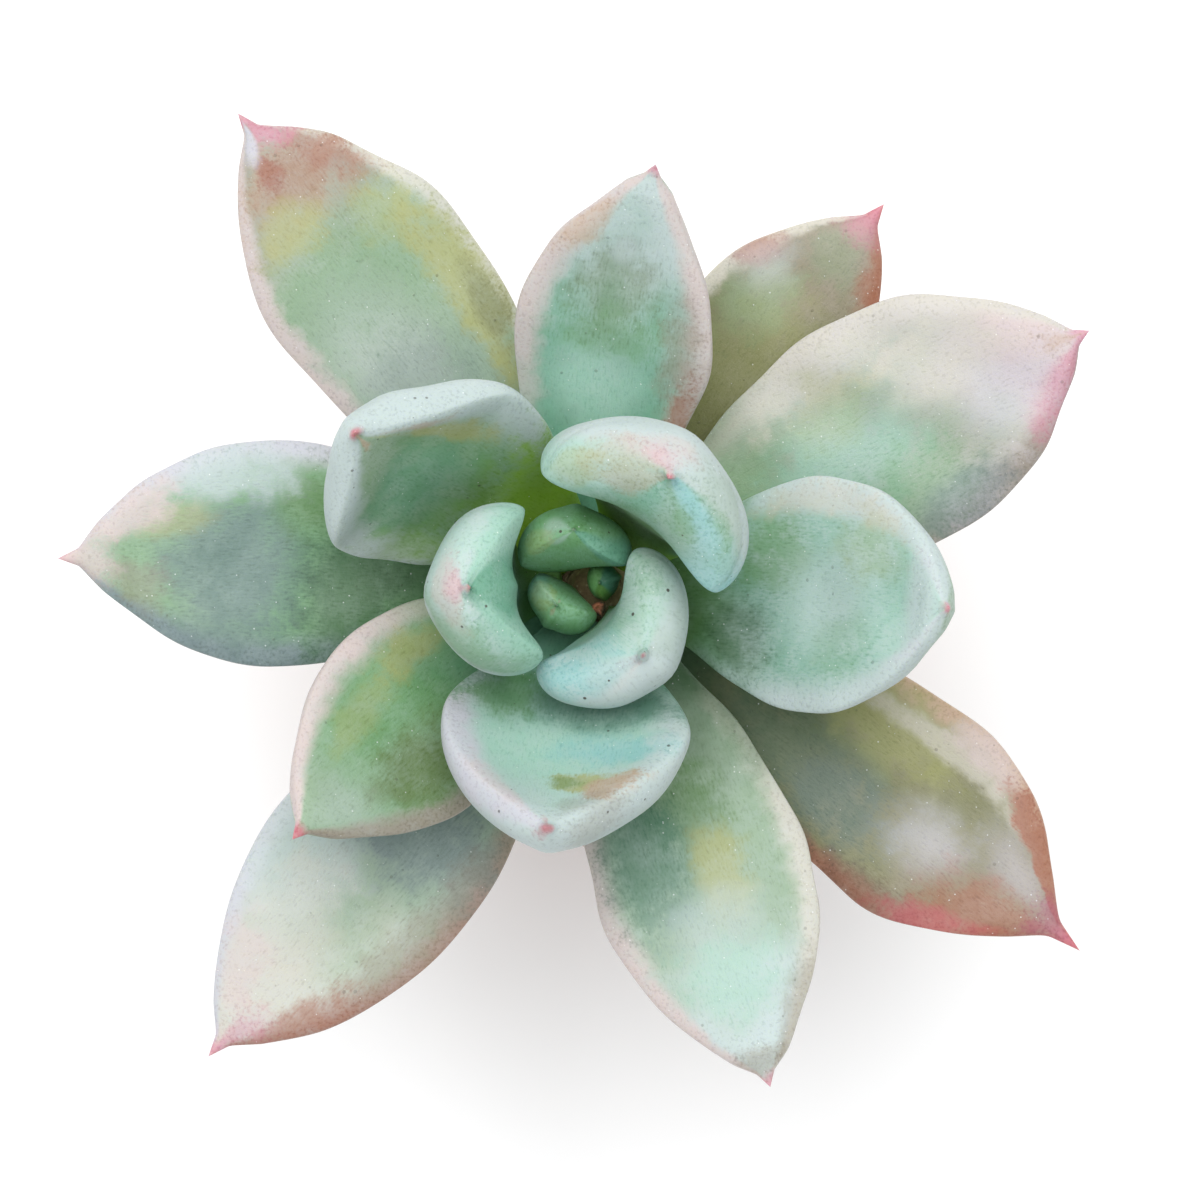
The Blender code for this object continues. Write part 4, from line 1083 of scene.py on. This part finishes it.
# %% Group: earth grain
def earth_group():
    """Two colours mixed by layered noise, with a third in scattered grains; size is in metres."""
    given_inputs = {"Light": GREY, "Dark": GREY, "Grains": GREY, "Size": 0.01, "Grain Size": 0.0006,
                    "Grain Share": 0.2}
    given_outputs = {"Color": "NodeSocketColor", "Height": "NodeSocketFloat", "Roughness": "NodeSocketFloat"}
    tree, given, out = new_group("earth_grain", given_inputs, given_outputs)
    place = node(tree, "ShaderNodeTexCoord").outputs["Object"]
    broad = node(tree, "ShaderNodeTexNoise", {"Vector": place, "Scale": sums(tree, "DIVIDE", 1.0, given["Size"]),
                                              "Detail": 8.0, "Roughness": 0.65}).outputs["Fac"]
    fine_scale = sums(tree, "DIVIDE", 1.0, given["Grain Size"])
    fine = node(tree, "ShaderNodeTexNoise", {"Vector": place, "Scale": fine_scale, "Detail": 3.0}).outputs["Fac"]
    cells = node(tree, "ShaderNodeTexVoronoi", {"Vector": place, "Scale": fine_scale})
    chance = node(tree, "ShaderNodeSeparateColor", {"Color": cells.outputs["Color"]}).outputs[0]
    grain = sums(tree, "MULTIPLY", sums(tree, "LESS_THAN", chance, given["Grain Share"]),
                 ramp(tree, cells.outputs["Distance"], 0.5, 0.3))
    colour = mix(tree, ramp(tree, broad, 0.36, 0.64), given["Dark"], given["Light"])
    plug(tree, out["Color"], mix(tree, sums(tree, "MULTIPLY", grain, 0.7), colour, given["Grains"]))
    plug(tree, out["Height"], sums(tree, "ADD", fine, sums(tree, "MULTIPLY", grain, 0.6)))
    plug(tree, out["Roughness"], sums(tree, "ADD", 0.78, sums(tree, "MULTIPLY", broad, 0.2)))
    return tree


earth = earth_group()
print("group", earth.name, "has", len(earth.nodes), "nodes")


# %% Clay, bark, soil and crumb materials
def earth_material(name, light, dark, grains, size, grain_size, share, tooth):
    """A matte material from the earth group; tooth is the depth of its bump in metres."""
    material, tree, shader = new_material(name)
    made = use(tree, earth, {"Light": linear(light), "Dark": linear(dark), "Grains": linear(grains),
                             "Size": size, "Grain Size": grain_size, "Grain Share": share})
    bump = node(tree, "ShaderNodeBump", {"Height": made["Height"], "Strength": 0.6, "Distance": tooth})
    plug(tree, shader.inputs["Base Color"], made["Color"])
    plug(tree, shader.inputs["Roughness"], made["Roughness"])
    plug(tree, shader.inputs["Normal"], bump.outputs["Normal"])
    shader.inputs["Specular IOR Level"].default_value = 0.3
    return material, tree, shader, made


def clay_material():
    """Terracotta: earth grain, a damp darker foot, and white salts under the rim."""
    material, tree, shader, made = earth_material(
        "fired_clay", (206, 128, 88), (182, 100, 66), (216, 148, 110), 0.012, 0.0006, 0.1, 0.08 * MM)
    place = node(tree, "ShaderNodeTexCoord").outputs["Object"]
    height = node(tree, "ShaderNodeSeparateXYZ", {"Vector": place}).outputs["Z"]
    blot = node(tree, "ShaderNodeTexNoise", {"Vector": place, "Scale": 70.0, "Detail": 6.0,
                                             "Roughness": 0.68}).outputs["Fac"]
    line = sums(tree, "ADD", height, sums(tree, "MULTIPLY", sums(tree, "SUBTRACT", blot, 0.5), 30 * MM))
    damp = ramp(tree, line, 16 * MM, 2 * MM, 0.45)
    salts = sums(tree, "MULTIPLY", ramp(tree, line, 30 * MM, 44 * MM), ramp(tree, blot, 0.50, 0.68, 0.55))
    colour = mix(tree, damp, made["Color"], linear((134, 74, 48)))
    plug(tree, shader.inputs["Base Color"], mix(tree, salts, colour, linear((232, 218, 204))))
    return material


pot.data.materials.clear()
pot.data.materials.append(clay_material())
bark = earth_material("stem_bark", (168, 156, 112), (118, 98, 68), (196, 184, 148), 0.004, 0.0005, 0.2, 0.15 * MM)
stem.data.materials.append(bark[0])
peat = earth_material("peat", (84, 62, 44), (46, 33, 24), (150, 132, 108), 0.003, 0.0006, 0.2, 0.35 * MM)
soil.data.materials.append(peat[0])


def crumb_material():
    """Each crumb's own random value picks bark brown, peat black, tan stone or pale pumice."""
    material, tree, shader, made = earth_material(
        "crumbs", (128, 104, 78), (88, 68, 50), (186, 172, 150), 0.002, 0.0003, 0.2, 0.1 * MM)
    pick = node(tree, "ShaderNodeAttribute", attribute_name="shade").outputs["Fac"]
    colour = mix(tree, sums(tree, "LESS_THAN", pick, 0.45), made["Color"], linear((58, 42, 30)))
    colour = mix(tree, sums(tree, "GREATER_THAN", pick, 0.72), colour, linear((172, 148, 116)))
    colour = mix(tree, sums(tree, "GREATER_THAN", pick, 0.9), colour, linear((216, 210, 198)))
    plug(tree, shader.inputs["Base Color"], colour)
    return material


grit.data.materials.append(crumb_material())
print("clay, bark, peat and crumbs are painted")

# %% [markdown]
# ## Tying the pieces to the model
#
# Nothing on this plant moves on a joint, so every piece rides on the one body, root.  Each new piece says which
# imported piece it stands for, so that the plain one is hidden.

# %% Ride and replace
pieces = {**leaf_skins, "stem": stem, "pot": pot, "soil": soil}
for name, piece in pieces.items():
    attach(piece, "root")
    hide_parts(name)
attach(grit, "root")
print("tied", len(pieces) + 1, "pieces to the model")

# %% [markdown]
# ## Floor, light and camera
#
# The plant is seen from straight above on a white ground, in light so soft that only the depth of the heart
# is in shade.  A single lamp would throw hard shadows, so the sky does most of the work, and one broad
# panel above the top of the view gives a gentle direction.

# %% The stage
FLOOR_SIZE = 3.0


def stage_floor():
    """A pale floor plane under the pot."""
    half = FLOOR_SIZE / 2
    mesh = bpy.data.meshes.new("floor")
    mesh.from_pydata([(-half, -half, 0), (half, -half, 0), (half, half, 0), (-half, half, 0)], [], [(0, 1, 2, 3)])
    material, _, shader = new_material("pale_floor")
    shader.inputs["Base Color"].default_value = (0.97, 0.97, 0.97, 1)
    shader.inputs["Roughness"].default_value = 0.7
    mesh.materials.append(material)
    return show("floor", mesh)


def soft_panel(name, place, size, watts):
    """A square light panel that faces the plant."""
    lamp = bpy.data.lights.new(name, "AREA")
    lamp.size = size
    lamp.energy = watts
    obj = bpy.data.objects.new(name, lamp)
    obj.location = place
    aim = math.atan2(math.hypot(place[0], place[1]), place[2])
    obj.rotation_euler = (aim, 0, math.atan2(place[1], place[0]) + math.pi / 2)
    bpy.context.collection.objects.link(obj)
    return obj


stage_floor()
soft_panel("key_panel", (-0.05, 0.36, 1.02), 0.8, 9.5)
sky = bpy.data.worlds.new("soft_sky")
sky.use_nodes = True
sky.node_tree.nodes["Background"].inputs["Color"].default_value = (0.97, 0.985, 1.0, 1)
sky.node_tree.nodes["Background"].inputs["Strength"].default_value = 0.80
bpy.context.scene.world = sky
bpy.context.scene.view_settings.view_transform = "Standard"
print("the stage has a floor, a panel and a sky")

# %% The camera
lens = bpy.data.cameras.new("camera")
lens.lens = 126
camera = bpy.data.objects.new("camera", lens)
camera.location = (0.4 * MM, -1.0 * MM, 490 * MM)
bpy.context.collection.objects.link(camera)
bpy.context.scene.camera = camera
print("the camera looks straight down from", camera.location.z, "m")

# %% Finish
bpy.context.view_layer.update()
